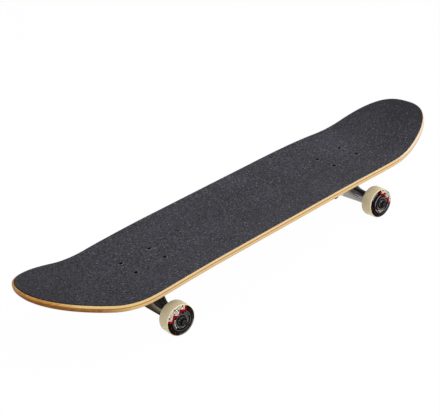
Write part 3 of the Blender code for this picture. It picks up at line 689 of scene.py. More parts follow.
@dataclass(frozen=True)
class PrintedUrethane(Urethane):
    """A wheel's outer face with a plain geometric print on it.

    The print's own frame is the wheel's face, a wheel radius to the unit, with its cream part up.
    """

    ink: Colour = srgb(17, 12, 10)
    line: Colour = srgb(46, 40, 37)
    ground: Colour = srgb(232, 224, 208)
    edging: Colour = srgb(126, 4, 14)
    foil_and_sheen: Colour = srgb(146, 147, 156)
    printed: tuple[float, float] = (0.45, 0.955)
    horizon: float = 0.3
    teeth: float = 1.9
    tooth_height: float = 0.26
    border: float = 0.19
    border_gap: float = 0.02
    cell: float = 0.36
    ring: tuple[float, float] = (0.155, 0.255)
    dot: float = 0.07
    diamond: float = 0.35
    studs: float = 11.0
    stud_ring: float = 0.78
    stud_radius: float = 0.035
    hub_ring: tuple[float, float] = (0.6, 0.64)
    hub_share: float = 1.0
    rim_ring: tuple[float, float] = (0.87, 0.91)
    rim_arc: tuple[float, float] = (0.7, 0.8)

    def make(self, wiring: Wiring) -> Material:
        """Builds the print over the urethane, with painted sheen in the grey arc on the rim ring.

        Args:
            wiring: The material's tree.

        Returns:
            The material.
        """
        across, up, _ = wiring.parts(wiring.add("ShaderNodeUVMap", uv_map="face").outputs[0])
        radius = root(across * across + up * up)
        turn = wiring.math("ARCTAN2", across, up) / tau
        printed = radius.between(*self.printed)
        height = up - self.horizon - (across * self.teeth).fold() * self.tooth_height
        black = printed * height.below(0.0)
        cream = printed * height.above(self.border + self.border_gap)
        folds = [(value / self.cell).off_middle() for value in (across, up)]
        corner, middle = (root(u * u + v * v) for u, v in (folds, [0.5 - value for value in folds]))
        reach = smaller(corner, middle)
        lines = reach.between(*self.ring) + reach.above(self.diamond) + reach.below(self.dot)
        studs = (turn * self.studs).off_middle() * 0.4 + size_of(radius - self.stud_ring)
        rub_and_sheen = wiring.noise(wiring.object_point(), 170, 3, 0.6)
        foil_and_sheen_share = radius.between(*self.hub_ring) * wiring.ramp(rub_and_sheen, 0.36, 0.48) * self.hub_share
        # The grey arc on the rim ring is print and painted sheen, set where the lip catches the light.
        arc = turn.math("FRACT").between(*self.rim_arc)
        foil_and_sheen_share = foil_and_sheen_share + radius.between(*self.rim_ring) * wiring.ramp(rub_and_sheen, 0.2, 0.36) * arc
        colour = wiring.layered(
            self.body(wiring),
            (printed, self.ground),
            (cream * lines, self.line),
            (black, self.ink),
            (printed * height.between(0.0, self.border), self.edging),
            (black * studs.below(self.stud_radius), self.edging),
            (black * foil_and_sheen_share, self.foil_and_sheen),
            (black * wiring.ramp(wiring.marked("chipped") * rub_and_sheen * 2.0, 0.5, 0.75), self.ground),
        )
        rough, normal = self.skin(wiring)
        return wiring.surface(
            Base_Color=colour, Roughness=rough - black * 0.08, Specular_IOR_Level=0.05, Normal=normal
        )


@dataclass(frozen=True)
class Moulded(Finish):
    """Moulded nylon or rubber: near black, with a fine matte grain."""

    colour: Colour = srgb(24, 24, 26)
    rough: float = 0.5
    shine: float = 0.1

    def make(self, wiring: Wiring) -> Material:
        """Builds the moulding's grain and handling marks.

        Args:
            wiring: The material's tree.

        Returns:
            The material.
        """
        point = wiring.object_point()
        grain = wiring.noise(point, 1700, 2, 0.5)
        dust = wiring.ramp(wiring.noise(point, 180, 4, 0.7), 0.5, 0.8)
        paler = tuple(value * 2.2 + 0.01 for value in self.colour)
        return wiring.surface(
            Base_Color=wiring.blend(dust * 0.5, self.colour, paler),
            Roughness=grain * 0.2 + self.rough,
            Specular_IOR_Level=self.shine,
            Normal=wiring.bump(grain, 0.00004, 0.5),
        )


MAPLE = MapleFace("lacquered_maple", "maple")
GRIT = Grit("black_grit", "grit")
CASTING = CastMetal("tumbled_casting", "cast_metal")
# The tail hanger's copy: dust with painted shade on the faces that turn up.
DUSTY_SHADED_CASTING = CastMetal("dusty_casting", "cast_metal", dusted_and_shaded=0.85)
# The nose hanger's copy: its darker dull and clean colours and the dirt below are painted shade, and its
# crest carries a painted highlight.
SHADED_ROAD_CASTING = CastMetal(
    "road_casting", "cast_metal", srgb(86, 83, 78), srgb(134, 131, 127),
    soiled_and_shaded=0.95, rub_and_sheen=1.0, rim_tint=srgb(110, 104, 98),
)
BRIGHT = Steel("bright_zinc", "bright_steel")
RACE = Steel(
    "ground_race", "bright_steel", srgb(104, 103, 102), srgb(176, 174, 170), rough=0.3, wear_from=0.9
)
BLACKED = Steel(
    "black_oxide", "black_steel", srgb(15, 13, 13), srgb(70, 68, 72),
    metal=0.0, rough=0.45, shine=0.07, wear_from=0.9,
)
BOLT_BLACK = Steel(
    "chipped_black", "black_steel", srgb(60, 60, 64), srgb(172, 168, 160),
    metal=0.0, rough=0.6, shine=0.1, wear_from=0.64,
)
TREAD = Urethane("wheel_urethane", "white_urethane")
BUSHING = Urethane("bushing_urethane", "bushing_urethane", colour=srgb(46, 46, 50), cloud=srgb(38, 38, 41))
PRINT = PrintedUrethane("wheel_print", "white_urethane")
# Less of the hub's grey ring, and the rim's painted sheen arc turned to suit these wheels' prints.
RUBBED_PRINT = PrintedUrethane(
    "rubbed_wheel_print", "white_urethane", hub_share=0.35, rim_arc=(0.36, 0.61)
)
NYLON = Moulded("black_nylon", "black_nylon")
COLLAR = Moulded("nut_collar", "black_nylon", colour=srgb(30, 32, 38), rough=0.35)
SHIELD = Moulded("bearing_shield", "bright_steel", colour=srgb(28, 28, 30), rough=0.32)


def mesh_from(shape: BMesh, name: str) -> Mesh:
    """Turns a bmesh into a new mesh and frees it.

    Args:
        shape: The bmesh.
        name: The mesh's name.

    Returns:
        The mesh.
    """
    mesh = bpy.data.meshes.new(name)
    shape.to_mesh(mesh)
    shape.free()
    return mesh


def bridge(
    shape: BMesh,
    first: Sequence[BMVert],
    second: Sequence[BMVert],
    closed: bool = True,
) -> None:
    """Adds the faces between two rows of points.

    Args:
        shape: Where the faces go.
        first: One row.
        second: The other, as long as the first, or either of them a single point.
        closed: Whether the rows are rings.
    """
    count = max(len(first), len(second))
    for i in range(count if closed else count - 1):
        k = (i + 1) % count
        places = ((first, i), (first, k), (second, k), (second, i))
        corners = [row[place % len(row)] for row, place in places]
        shape.faces.new(list(dict.fromkeys(corners)))


def mesh_of_rings(name: str, rings: Sequence[Sequence[Vector]]) -> Mesh:
    """Skins a run of rings of points, as a loop where it doesn't start at a pole.

    Args:
        name: The mesh's name.
        rings: Rings of as many points each, or of one point where the skin ends in a pole.

    Returns:
        The mesh, with its faces outwards.
    """
    shape = bmesh.new()
    rows = [[shape.verts.new(point) for point in ring] for ring in rings]
    if len(rows[0]) > 1:
        rows.append(rows[0])
    for first, second in zip(rows, rows[1:]):
        bridge(shape, first, second)
    bmesh.ops.recalc_face_normals(shape, faces=shape.faces)
    return mesh_from(shape, name)


def moved(mesh: Mesh, *moves: Matrix) -> Mesh:
    """Moves a mesh by each matrix in turn.

    Args:
        mesh: The mesh.
        *moves: The matrices in order.

    Returns:
        The same mesh.
    """
    for move in moves:
        mesh.transform(move)
    return mesh


def shifted(x: float, y: float, z: float) -> Matrix:
    """The matrix of a plain shift."""
    return Matrix.Translation((x, y, z))


def store(mesh: Mesh, name: str, values: Iterable[float]) -> None:
    """Stores one number at each point of a mesh, for the finishes."""
    mesh.attributes.new(name, "FLOAT", "POINT").data.foreach_set("value", list(values))


def clamped(value: float) -> float:
    """The value, held between nothing and one."""
    return min(max(value, 0.0), 1.0)


def circle(radius: float, height: float, steps: int) -> list[Vector]:
    """One ring round Z, or a pole where the radius is nothing.

    Args:
        radius: Its radius.
        height: Its height.
        steps: Points in the ring.

    Returns:
        The ring's points.
    """
    if radius == 0:
        return [Vector((0, 0, height))]
    turns = [tau * i / steps for i in range(steps)]
    return [Vector((radius * cos(turn), radius * sin(turn), height)) for turn in turns]


def circles(profile: Profile, steps: int) -> list[list[Vector]]:
    """The rings of a turned shape from (radius, height) points."""
    return [circle(radius, height, steps) for radius, height in profile]


def turned(name: str, profile: Profile, steps: int) -> Mesh:
    """A solid of revolution round Z from (radius, height) points."""
    return mesh_of_rings(name, circles(profile, steps))


def band(inner: float, outer: float, low: float, high: float) -> Profile:
    """The square profile of a ring, or of a disc where the inner radius is nothing."""
    return [(inner, low), (outer, low), (outer, high), (inner, high)]


def mirrored(side: Profile) -> Profile:
    """A profile and its mirror image across z = 0."""
    return [(radius, -height) for radius, height in reversed(side)] + list(side)


def arc(
    radius: float, first: float, last: float, steps: int, middle: tuple[float, float] = (0, 0)
) -> Profile:
    """(radius, height) points of an arc round a middle, from one angle to another."""
    turns = [first + (last - first) * i / steps for i in range(steps + 1)]
    return [(middle[0] + radius * cos(turn), middle[1] + radius * sin(turn)) for turn in turns]


def rounded(profile: Profile, radii: dict[int, float], steps: int = 4) -> Profile:
    """Rounds some corners of a closed profile.

    Args:
        profile: The corners in order.
        radii: The radius for each rounded corner, by its number.
        steps: Facets for each rounding.

    Returns:
        The profile with each named corner made an arc.
    """
    points = [Vector(point) for point in profile]
    result: list[tuple[float, float]] = []
    for i, corner in enumerate(points):
        if i not in radii:
            result.append(tuple(corner))
            continue
        before = (points[i - 1] - corner).normalized()
        after = (points[(i + 1) % len(points)] - corner).normalized()
        reach = radii[i] / tan(before.angle(after) / 2)
        start, end = corner + before * reach, corner + after * reach
        for k in range(steps + 1):
            share = k / steps
            result.append(tuple(start.lerp(corner, share).lerp(corner.lerp(end, share), share)))
    return result


def hexagon_ring(across_flats: float, height: Callable[[float], float], steps: int) -> list[Vector]:
    """A ring round a hexagon, its height set from the distance to the axis.

    Args:
        across_flats: The hexagon's size.
        height: Gives the height at a distance from the axis.
        steps: Points in the ring, in sixes.

    Returns:
        The ring's points.
    """
    points = []
    for i in range(steps):
        turn = tau * i / steps
        radius = across_flats / 2 / cos((turn + pi / 6) % (pi / 3) - pi / 6)
        points.append(Vector((radius * cos(turn), radius * sin(turn), height(radius))))
    return points


def nut_mesh(flats: float, bore: float, height: float, collar: float) -> Mesh:
    """A hexagon nut that stands on z = 0, with turned corners and a round collar on top.

    Args:
        flats: The size across the flats.
        bore: The bore's radius.
        height: The whole height.
        collar: How much of the height is the collar.

    Returns:
        The mesh.
    """
    face, top = flats / 2 * NUT_FACE, height - collar
    side, curve = face * NUT_COLLAR, collar * NUT_CURVE
    upper = [(face, top), (side, top + NUT_STEP)]
    upper += arc(curve, 0, pi / 2, 4, (side - curve, height - curve))
    upper += [(bore + out, height - down) for out, down in NUT_MOUTH]
    rings = circles([(bore + NUT_CHAMFER, 0), (face, 0)], Facets.KINGPIN)
    rings.append(hexagon_ring(flats, lambda radius: (radius - face) * NUT_SLOPE, Facets.KINGPIN))
    rings.append(hexagon_ring(flats, lambda radius: top - (radius - face) * NUT_SLOPE, Facets.KINGPIN))
    return mesh_of_rings("nut", rings + circles([*upper, (bore, NUT_CHAMFER)], Facets.KINGPIN))


def mark_wear(mesh: Mesh) -> None:
    """Stores how far each point stands on an outer edge, for finishes that rub bright.

    Args:
        mesh: The mesh of a finished piece.
    """
    shape = bmesh.new()
    shape.from_mesh(mesh)
    layer = shape.verts.layers.float.get("wear") or shape.verts.layers.float.new("wear")
    for vert in shape.verts:
        bends = [edge.calc_face_angle_signed(0.0) for edge in vert.link_edges if len(edge.link_faces) == 2]
        vert[layer] = clamped(max(bends, default=0.0) / FULL_WEAR)
    shape.to_mesh(mesh)
    shape.free()


def mark_facing(mesh: Mesh, outward: int) -> None:
    """Stores which way each point of a hanger faces, for dirt, dust and painted shade, and where its outward
    crest takes a painted highlight.

    Args:
        mesh: The hanger, in the board's frame.
        outward: The sign of X towards the board's nearer end.
    """
    facing, ridge = [], []
    for vertex in mesh.vertices:
        rise = vertex.normal.z
        under, over, top = (clamped(rise * slope + start) for start, slope in FACING_BANDS)
        facing.append(over + top - under)
        outside = vertex.normal.x * outward > 0
        ridge.append(max(1.0 - abs(rise - RIDGE_RISE) * RIDGE_FADE, 0.0) if outside else 0.0)
    store(mesh, "facing", facing)
    store(mesh, "ridge", ridge)


def box(low: Sequence[float], high: Sequence[float]) -> Mesh:
    """A box between two corners, for joining to or cutting another mesh.

    Args:
        low: The corner with the lowest values.
        high: The opposite corner.

    Returns:
        The box.
    """
    shape = bmesh.new()
    bmesh.ops.create_cube(shape, size=1)
    first, last = Vector(low), Vector(high)
    bmesh.ops.scale(shape, verts=shape.verts, vec=last - first)
    bmesh.ops.translate(shape, verts=shape.verts, vec=(first + last) / 2)
    return mesh_from(shape, "box")


def temporary(mesh: Mesh) -> Object:
    """Adds an object that only helps to make another.

    Args:
        mesh: Its mesh.

    Returns:
        The object.
    """
    helper = bpy.data.objects.new("helper", mesh)
    bpy.context.scene.collection.objects.link(helper)
    return helper


def settled(thing: Object, helpers: Iterable[Object] = ()) -> Mesh:
    """Ends a helper's modifiers and returns the mesh that they make.

    Args:
        thing: The object with the modifiers. It is removed.
        helpers: Other objects that are removed too.

    Returns:
        The plain mesh.
    """
    bpy.context.view_layer.update()
    graph = bpy.context.evaluated_depsgraph_get()
    mesh = bpy.data.meshes.new_from_object(
        thing.evaluated_get(graph), preserve_all_data_layers=True, depsgraph=graph
    )
    for used in (thing, *helpers):
        bpy.data.objects.remove(used, do_unlink=True)
    return mesh


def combined(mesh: Mesh, joint: Joint, *others: Mesh) -> Mesh:
    """Joins other meshes to a mesh, or cuts them out of it.

    Args:
        mesh: The mesh to start from.
        joint: What is done with the others.
        *others: The other meshes, in order.

    Returns:
        The resulting mesh.
    """
    thing = temporary(mesh)
    helpers = [temporary(other) for other in others]
    for helper in helpers:
        modifier = thing.modifiers.new("combine", "BOOLEAN")
        modifier.operation = joint.value
        modifier.solver = "EXACT"
        modifier.object = helper
    return settled(thing, helpers)


def cast(mesh: Mesh, grain: float, rounds: int) -> Mesh:
    """Gives a joined mesh the soft inner and outer corners of a casting.

    Args:
        mesh: The mesh with sharp joints.
        grain: The size of the cells that it is remade from.
        rounds: How many times it is smoothed.

    Returns:
        The softened mesh.
    """
    thing = temporary(mesh)
    remesh = thing.modifiers.new("remesh", "REMESH")
    remesh.mode = "VOXEL"
    remesh.voxel_size = grain
    smooth = thing.modifiers.new("smooth", "SMOOTH")
    smooth.factor = 0.5
    smooth.iterations = rounds
    return settled(thing)


def run_tree(mesh: Mesh, wiring: Wiring, values: dict[str, object]) -> Mesh:
    """Runs a geometry tree on a mesh.

    Args:
        mesh: The mesh that goes in.
        wiring: The tree.
        values: The value of each named input.

    Returns:
        The plain mesh that comes out.
    """
    thing = temporary(mesh)
    modifier = thing.modifiers.new("tree", "NODES")
    modifier.node_group = wiring.tree
    for name, value in values.items():
        modifier[wiring.inputs[name]] = value
    return settled(thing)


@dataclass(frozen=True)
class Layout:
    """Sizes that more than one sub-assembly needs."""

    gap: float = 0.0003
    deck_width: float = 0.2032
    wheelbase: float = 0.36195
    bolt_length_pitch: float = 0.05398
    bolt_width_pitch: float = 0.04128
    nose_reach: float = 0.1763
    tail_reach: float = 0.1557
    deck_thickness: float = 0.0103
    wheel_radius: float = 0.0255
    truck_height: float = 0.0564
    base_thickness: float = 0.0052

    @property
    def outer_bolt(self) -> float:
        """The outer bolts' distance from the middle of the wheelbase."""
        return self.wheelbase / 2 + self.bolt_length_pitch

    def reach(self, end: End) -> float:
        """How far the deck goes beyond an end's outer bolts."""
        return self.nose_reach if end is End.NOSE else self.tail_reach

    @property
    def shift(self) -> float:
        """How far the middle of the wheelbase lies from the middle of the board."""
        return (self.nose_reach - self.tail_reach) / 2

    @property
    def underside(self) -> float:
        """The height of the deck's flat underside."""
        return self.wheel_radius + self.truck_height

    def truck_place(self, end: End) -> Matrix:
        """The truck's frame: +X towards the board's middle, and its origin on the deck's underside.

        Args:
            end: The truck's end of the board.

        Returns:
            The frame, as seen from the board's.
        """
        reach = self.wheelbase / 2 + self.bolt_length_pitch / 2
        place = shifted(end.side * reach + self.shift, 0, self.underside)
        return place if end is End.NOSE else place @ Matrix.Rotation(pi, 4, "Z")

    def bolts(self) -> list[tuple[str, float, float]]:
        """The name and the place of each deck bolt.

        Returns:
            (name, x, y) of each bolt.
        """
        rows = (("outer", self.outer_bolt), ("inner", self.outer_bolt - self.bolt_length_pitch))
        return [
            (
                f"{end.value}_{row}_{hand.value}",
                end.side * along + self.shift,
                hand.side * self.bolt_width_pitch / 2,
            )
            for end in End
            for row, along in rows
            for hand in Hand
        ]


LAYOUT = Layout()


@dataclass
class SubAssembly:
    """What every sub-assembly shares: the layout and the way a piece joins the scene."""

    layout: Layout = field(default=LAYOUT, kw_only=True)
    label: str = field(default="", init=False)

    def fit(
        self,
        name: str,
        mesh: Mesh,
        finish: Finish,
        body: str | tuple[str, str, Vector, Vector],
        replaced: Sequence[str] = (),
        sharp: float = 30,
    ) -> None:
        """Adds a finished piece to the scene.

        Args:
            name: The piece's name.
            mesh: Its mesh, in place.
            finish: Its finish.
            body: The CAD body that it rides on, or a tuple of two bodies and two points, in which case the
                piece rides on none and only its place is baked into its mesh.
            replaced: The CAD nodes that it stands for.
            sharp: The angle in degrees from which an edge stays sharp.
        """
        mesh.name = name
        mesh.materials.clear()
        mesh.materials.append(finish.material())
        mark_wear(mesh)
        mesh.shade_smooth()
        mesh.set_sharp_from_angle(angle=radians(sharp))
        piece = bpy.data.objects.new(name, mesh)
        bpy.context.scene.collection.objects.link(piece)
        if isinstance(body, str):
            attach(piece, body)
        else:
            first, second, start, end = body
            tuple(start)
            tuple(end)
            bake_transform(piece)
        if replaced:
            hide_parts(*replaced)
        LOG.info("%s: %d faces, stands for %d nodes", name, len(mesh.polygons), len(replaced))

    def add(
        self, piece: str, mesh: Mesh, finish: Finish, body: object, node: str = "", sharp: float = 30
    ) -> None:
        """Adds a piece whose own name and node both start with the sub-assembly's label."""
        nodes = [f"{self.label}_{node}"] if node else []
        self.fit(f"{self.label}_{piece}", mesh, finish, body, nodes, sharp)


@dataclass(frozen=True)
class EndShape:
    """How one end of the deck is drawn and kicked up."""

    taper_start: float
    fullness: tuple[float, float]
    kick_start: float
    kick_bend: float
    kick_angle: float


@dataclass
class Deck(SubAssembly):
    """The pressed maple deck and its grip tape."""

    edge_radius: float = 0.0035
    concave_depth: float = 0.0075
    concave_power: float = 2.14
    concave_fade: float = 0.125
    nose: EndShape = EndShape(0.0141, (2.42, 2.19), 0.0168, 0.0646, radians(23.7))
    tail: EndShape = EndShape(0.0847, (2.94, 2.61), 0.0154, 0.0554, radians(18.6))
    grip_thickness: float = 0.0008
    grip_inset: float = 0.0018
    grip_nose_inset: float = 0.0045
    head_radius: float = 0.0048
    head_heights: tuple[float, float] = (0.003, -0.0004)
    hole_radius: float = 0.0024
    shaft_heights: tuple[float, float] = (-0.0031, -0.03)
    end_share: float = 0.1
    station_power: float = 0.9
    end_stations: int = 44
    middle_stations: int = 64
    rows: int = 40
    rim_steps: int = 7
    flat_steps: int = 3
    grip_steps: int = 4
    grip_corner: tuple[float, float] = (0.0001, 0.00015)
    grip_clearance: float = 0.6

    def outline_end(self, end: End, inset: float, turn: float) -> tuple[float, float]:
        """A point of one rounded end, as distance along the board and half width.

        Args:
            end: Which end.
            inset: How far the line is drawn in from the edge.
            turn: From nothing at the side to a quarter turn at the tip.

        Returns:
            The distance from the middle of the wheelbase and the half width there.
        """
        shape = self.nose if end is End.NOSE else self.tail
        start = self.layout.outer_bolt - shape.taper_start
        length = self.layout.outer_bolt + self.layout.reach(end) - inset - start
        along = start + length * sin(turn) ** (2 / shape.fullness[0])
        half = (self.layout.deck_width / 2 - inset) * max(cos(turn), 0) ** (2 / shape.fullness[1])
        return along, half

    def outline(self, inset: float, nose_extra: float) -> list[tuple[float, float, float]]:
        """The edge from the nose's tip to the tail's, drawn in by an inset.

        Args:
            inset: How far it is drawn in.
            nose_extra: How much farther it is drawn in at the nose's tip.

        Returns:
            (x, half width, inset there) of each point.
        """
        turns = [pi / 2 * (i / self.end_stations) ** self.station_power for i in range(self.end_stations)]
        ends = []
        for end, extra in ((End.NOSE, nose_extra), (End.TAIL, 0.0)):
            insets = [inset + extra * sin(turn) for turn in turns]
            line = [(*self.outline_end(end, here, turn), here) for turn, here in zip(turns, insets)]
            tip = self.layout.outer_bolt + self.layout.reach(end)
            line.append((tip - inset - extra, 0.0, inset + extra))
            ends.append([(end.side * along, half, here) for along, half, here in line])
        nose, tail = ends[0][::-1], ends[1]
        first, last = nose[-1][0], tail[0][0]
        half = self.layout.deck_width / 2 - inset
        count = self.middle_stations
        middle = [(first + (last - first) * i / count, half, inset) for i in range(1, count)]
        return [(x + self.layout.shift, half, here) for x, half, here in nose + middle + tail]

    def blank(self, name: str, rim: Rim, foot: float, nose_extra: float = 0.0) -> Mesh:
        """A flat sheet in the deck's outline with its top at z = 0, before it is pressed.

        Args:
            name: The mesh's name.
            rim: (inset, height, bend) of each ring round its edge, from the top to the foot. The deck's
                rounding lowers a ring where bend is -1 and raises it where bend is 1.
            foot: The height of its foot.
            nose_extra: How much farther the sheet is drawn in at the nose's tip.

        Returns:
            The mesh, with each point's share of the depth and its place along the ends, from -1 at the
                nose's tip to 1 at the tail's.
        """
        shape = bmesh.new()

        def sheet(height: float) -> list[BMVert]:
            """Adds a flat sheet.

            Args:
                height: The sheet's height.

            Returns:
                The ring of points round it.
            """
            rows = []
            for x, half, _ in self.outline(rim[0][0], nose_extra):
                spread = [2 * k / self.rows - 1 for k in range(self.rows + 1)] if half else [0]
                rows.append([shape.verts.new((x, half * part, height)) for part in spread])
            sheets.append(rows)
            one_side, other_side = [row[-1] for row in rows[1:-1]], [row[0] for row in rows[-2:0:-1]]
            return [rows[0][0], *one_side, rows[-1][0], *other_side]

        sheets: list[list[list[BMVert]]] = []
        rings = [sheet(0.0), sheet(foot)]
        for rows in sheets:
            for first, second in zip(rows, rows[1:]):
                bridge(shape, first, second, closed=False)
        for inset, height, bend in rim[1:-1]:
            line = self.outline(inset, nose_extra)
            points = line + [(x, -half, here) for x, half, here in line[-2:0:-1]]
            ring = [shape.verts.new((x, y, height + bend * self.edge_fall(here))) for x, y, here in points]
            rings.insert(-1, ring)
        for first, second in zip(rings, rings[1:]):
            bridge(shape, first, second)
        bmesh.ops.recalc_face_normals(shape, faces=shape.faces)
        depth, tip = (shape.verts.layers.float.new(word) for word in ("depth", "tip"))
        reach = self.layout.tail_reach
        start, length = self.layout.outer_bolt + reach * self.end_share, reach * (1 - self.end_share)
        for vert in shape.verts:
            vert[depth] = clamped(vert.co.z / foot)
            along = vert.co.x - self.layout.shift
            vert[tip] = copysign(clamped((abs(along) - start) / length), along)
        return mesh_from(shape, name)

    def surface(self, x: Value, y: Value, sizes: dict[str, Value]) -> tuple[Value, Value]:
        """The pressed top's height at a point of the plan, and how much its slope stretches a plumb line.

        Args:
            x: Along the board.
            y: Across the board.
            sizes: The mould's sizes by name.

        Returns:
            The height above the flat part, and the stretch.
        """
        along = x - self.layout.shift
        rise, slope, fade = 0.0, 0.0, 1.0
        for end in End:
            start, bend, radius, steepness = (
                sizes[f"{end.value} kick {word}"] for word in ("start", "bend", "radius", "slope")
            )
            run = along * float(end.side) - self.layout.outer_bolt - start
            on_arc = larger(smaller(run, bend), 0.0)
            fall = root(radius * radius - on_arc * on_arc)
            rise = rise + radius - fall + steepness * larger(run - bend, 0.0)
            slope = slope + on_arc / fall
            faded = sizes["concave fade"]
            fade = fade * (1.0 - eased((run + faded) / (self.layout.reach(end) - start + faded)))
        off = size_of(y) / (self.layout.deck_width / 2)
        dish = sizes["concave depth"] * off ** sizes["concave power"] * fade
        tilt = dish * sizes["concave power"] / larger(size_of(y), 0.001)
        return rise + dish, root(slope * slope + tilt * tilt + 1.0)

    def mould_sizes(self) -> dict[str, float]:
        """The mould's sizes by name.

        Returns:
            The value of each size that the mould's tree takes.
        """
        sizes = {"concave depth": self.concave_depth, "concave power": self.concave_power}
        sizes["concave fade"] = self.concave_fade
        for end, shape in ((End.NOSE, self.nose), (End.TAIL, self.tail)):
            bend, angle = shape.kick_bend, shape.kick_angle
            kick = {"start": shape.kick_start, "bend": bend}
            kick.update({"radius": bend / sin(angle), "slope": tan(angle)})
            sizes.update({f"{end.value} kick {word}": value for word, value in kick.items()})
        return sizes

    def mould(self) -> Wiring:
        """The geometry tree that presses a flat sheet into the deck's shape.

        Returns:
            The tree.
        """
        wiring = Wiring("deck_mould", TreeKind.GEOMETRY)
        wiring.open_group()
        sizes = {name: wiring.size_input(name, value) for name, value in self.mould_sizes().items()}
        lift = wiring.size_input("lift", 0.0)
        x, y, z = wiring.parts(wiring.add("GeometryNodeInputPosition").outputs[0])
        height, stretch = self.surface(x, y, sizes)
        place = wiring.vector(x, y, height + lift + z * stretch)
        values = {"Geometry": wiring.given("Mesh"), "Position": place}
        pressed = wiring.add("GeometryNodeSetPosition", values)
        wiring.close_group(pressed.outputs[0])
        return wiring

    def top(self, x: float, y: float) -> float:
        """The height of the wood's top at a point of the plan."""
        flat = self.layout.underside + self.layout.deck_thickness
        return flat + self.surface(x, y, self.mould_sizes())[0]

    def hole_cutters(self, clearance: float) -> Mesh:
        """Countersunk cutters for the eight bolt holes, as one mesh.

        Args:
            clearance: The room round a bolt.

        Returns:
            The cutters.
        """
        head, shaft = self.head_radius + clearance, self.hole_radius + clearance
        (above, edge), (foot, end) = self.head_heights, self.shaft_heights
        profile = ((0, above), (head, above), (head, edge), (shaft, foot), (shaft, end), (0, end))
        shape = bmesh.new()
        lift = self.layout.gap + self.grip_thickness
        for _, x, y in self.layout.bolts():
            place = shifted(x, y, self.top(x, y) + lift)
            shape.from_mesh(moved(turned("cutter", profile, Facets.BOLT), place))
        return mesh_from(shape, "hole_cutters")

    def edge_fall(self, inset: float) -> float:
        """How far the rounded edge has fallen at this distance in from the outline."""
        reach = max(self.edge_radius - inset, 0)
        return self.edge_radius - sqrt(self.edge_radius**2 - reach**2)

    def build(self) -> None:
        """Presses the wood and the grip tape, drills both and adds them to the scene."""
        mould = self.mould()
        thickness, edge = self.layout.deck_thickness, self.edge_radius
        rounds = [edge * (1 - sin(pi / 2 * i / self.rim_steps)) for i in range(self.rim_steps + 1)]
        upper = [(inset, 0.0, -1.0) for inset in rounds]
        flat_edge, count = thickness - 2 * edge, self.flat_steps
        middle = [(0.0, -edge - flat_edge * k / count, 0.0) for k in range(1, count)]
        lower = [(inset, -thickness, 1.0) for inset in reversed(rounds)]
        wood = self.blank("wood", upper + middle + lower, -thickness)
        flat = self.layout.underside + thickness
        sizes = self.mould_sizes()
        wood = run_tree(wood, mould, {**sizes, "lift": flat, "Finish": MAPLE.material()})
        wood = combined(wood, Joint.CUT, self.hole_cutters(self.layout.gap))
        self.fit("deck_laminate", wood, MAPLE, ROOT, ["deck"], sharp=60)

        count = self.grip_steps
        insets = [edge - (edge - self.grip_inset) * k / count for k in range(count + 1)]
        over = [(inset, 0.0, -1.0) for inset in insets]
        out, down = self.grip_corner
        softened = [(self.grip_inset - out, -down, -1.0)]
        under = [(inset, -self.grip_thickness, -1.0) for inset in reversed(insets)]
        nose_extra = self.grip_nose_inset - self.grip_inset
        tape = self.blank("tape", over + softened + under, -self.grip_thickness, nose_extra)
        lift = flat + self.layout.gap + self.grip_thickness
        tape = run_tree(tape, mould, {**sizes, "lift": lift, "Finish": GRIT.material()})
        tape = combined(tape, Joint.CUT, self.hole_cutters(self.layout.gap * self.grip_clearance))
        self.fit("grip_sheet", tape, GRIT, ROOT, ["grip_tape"], sharp=60)


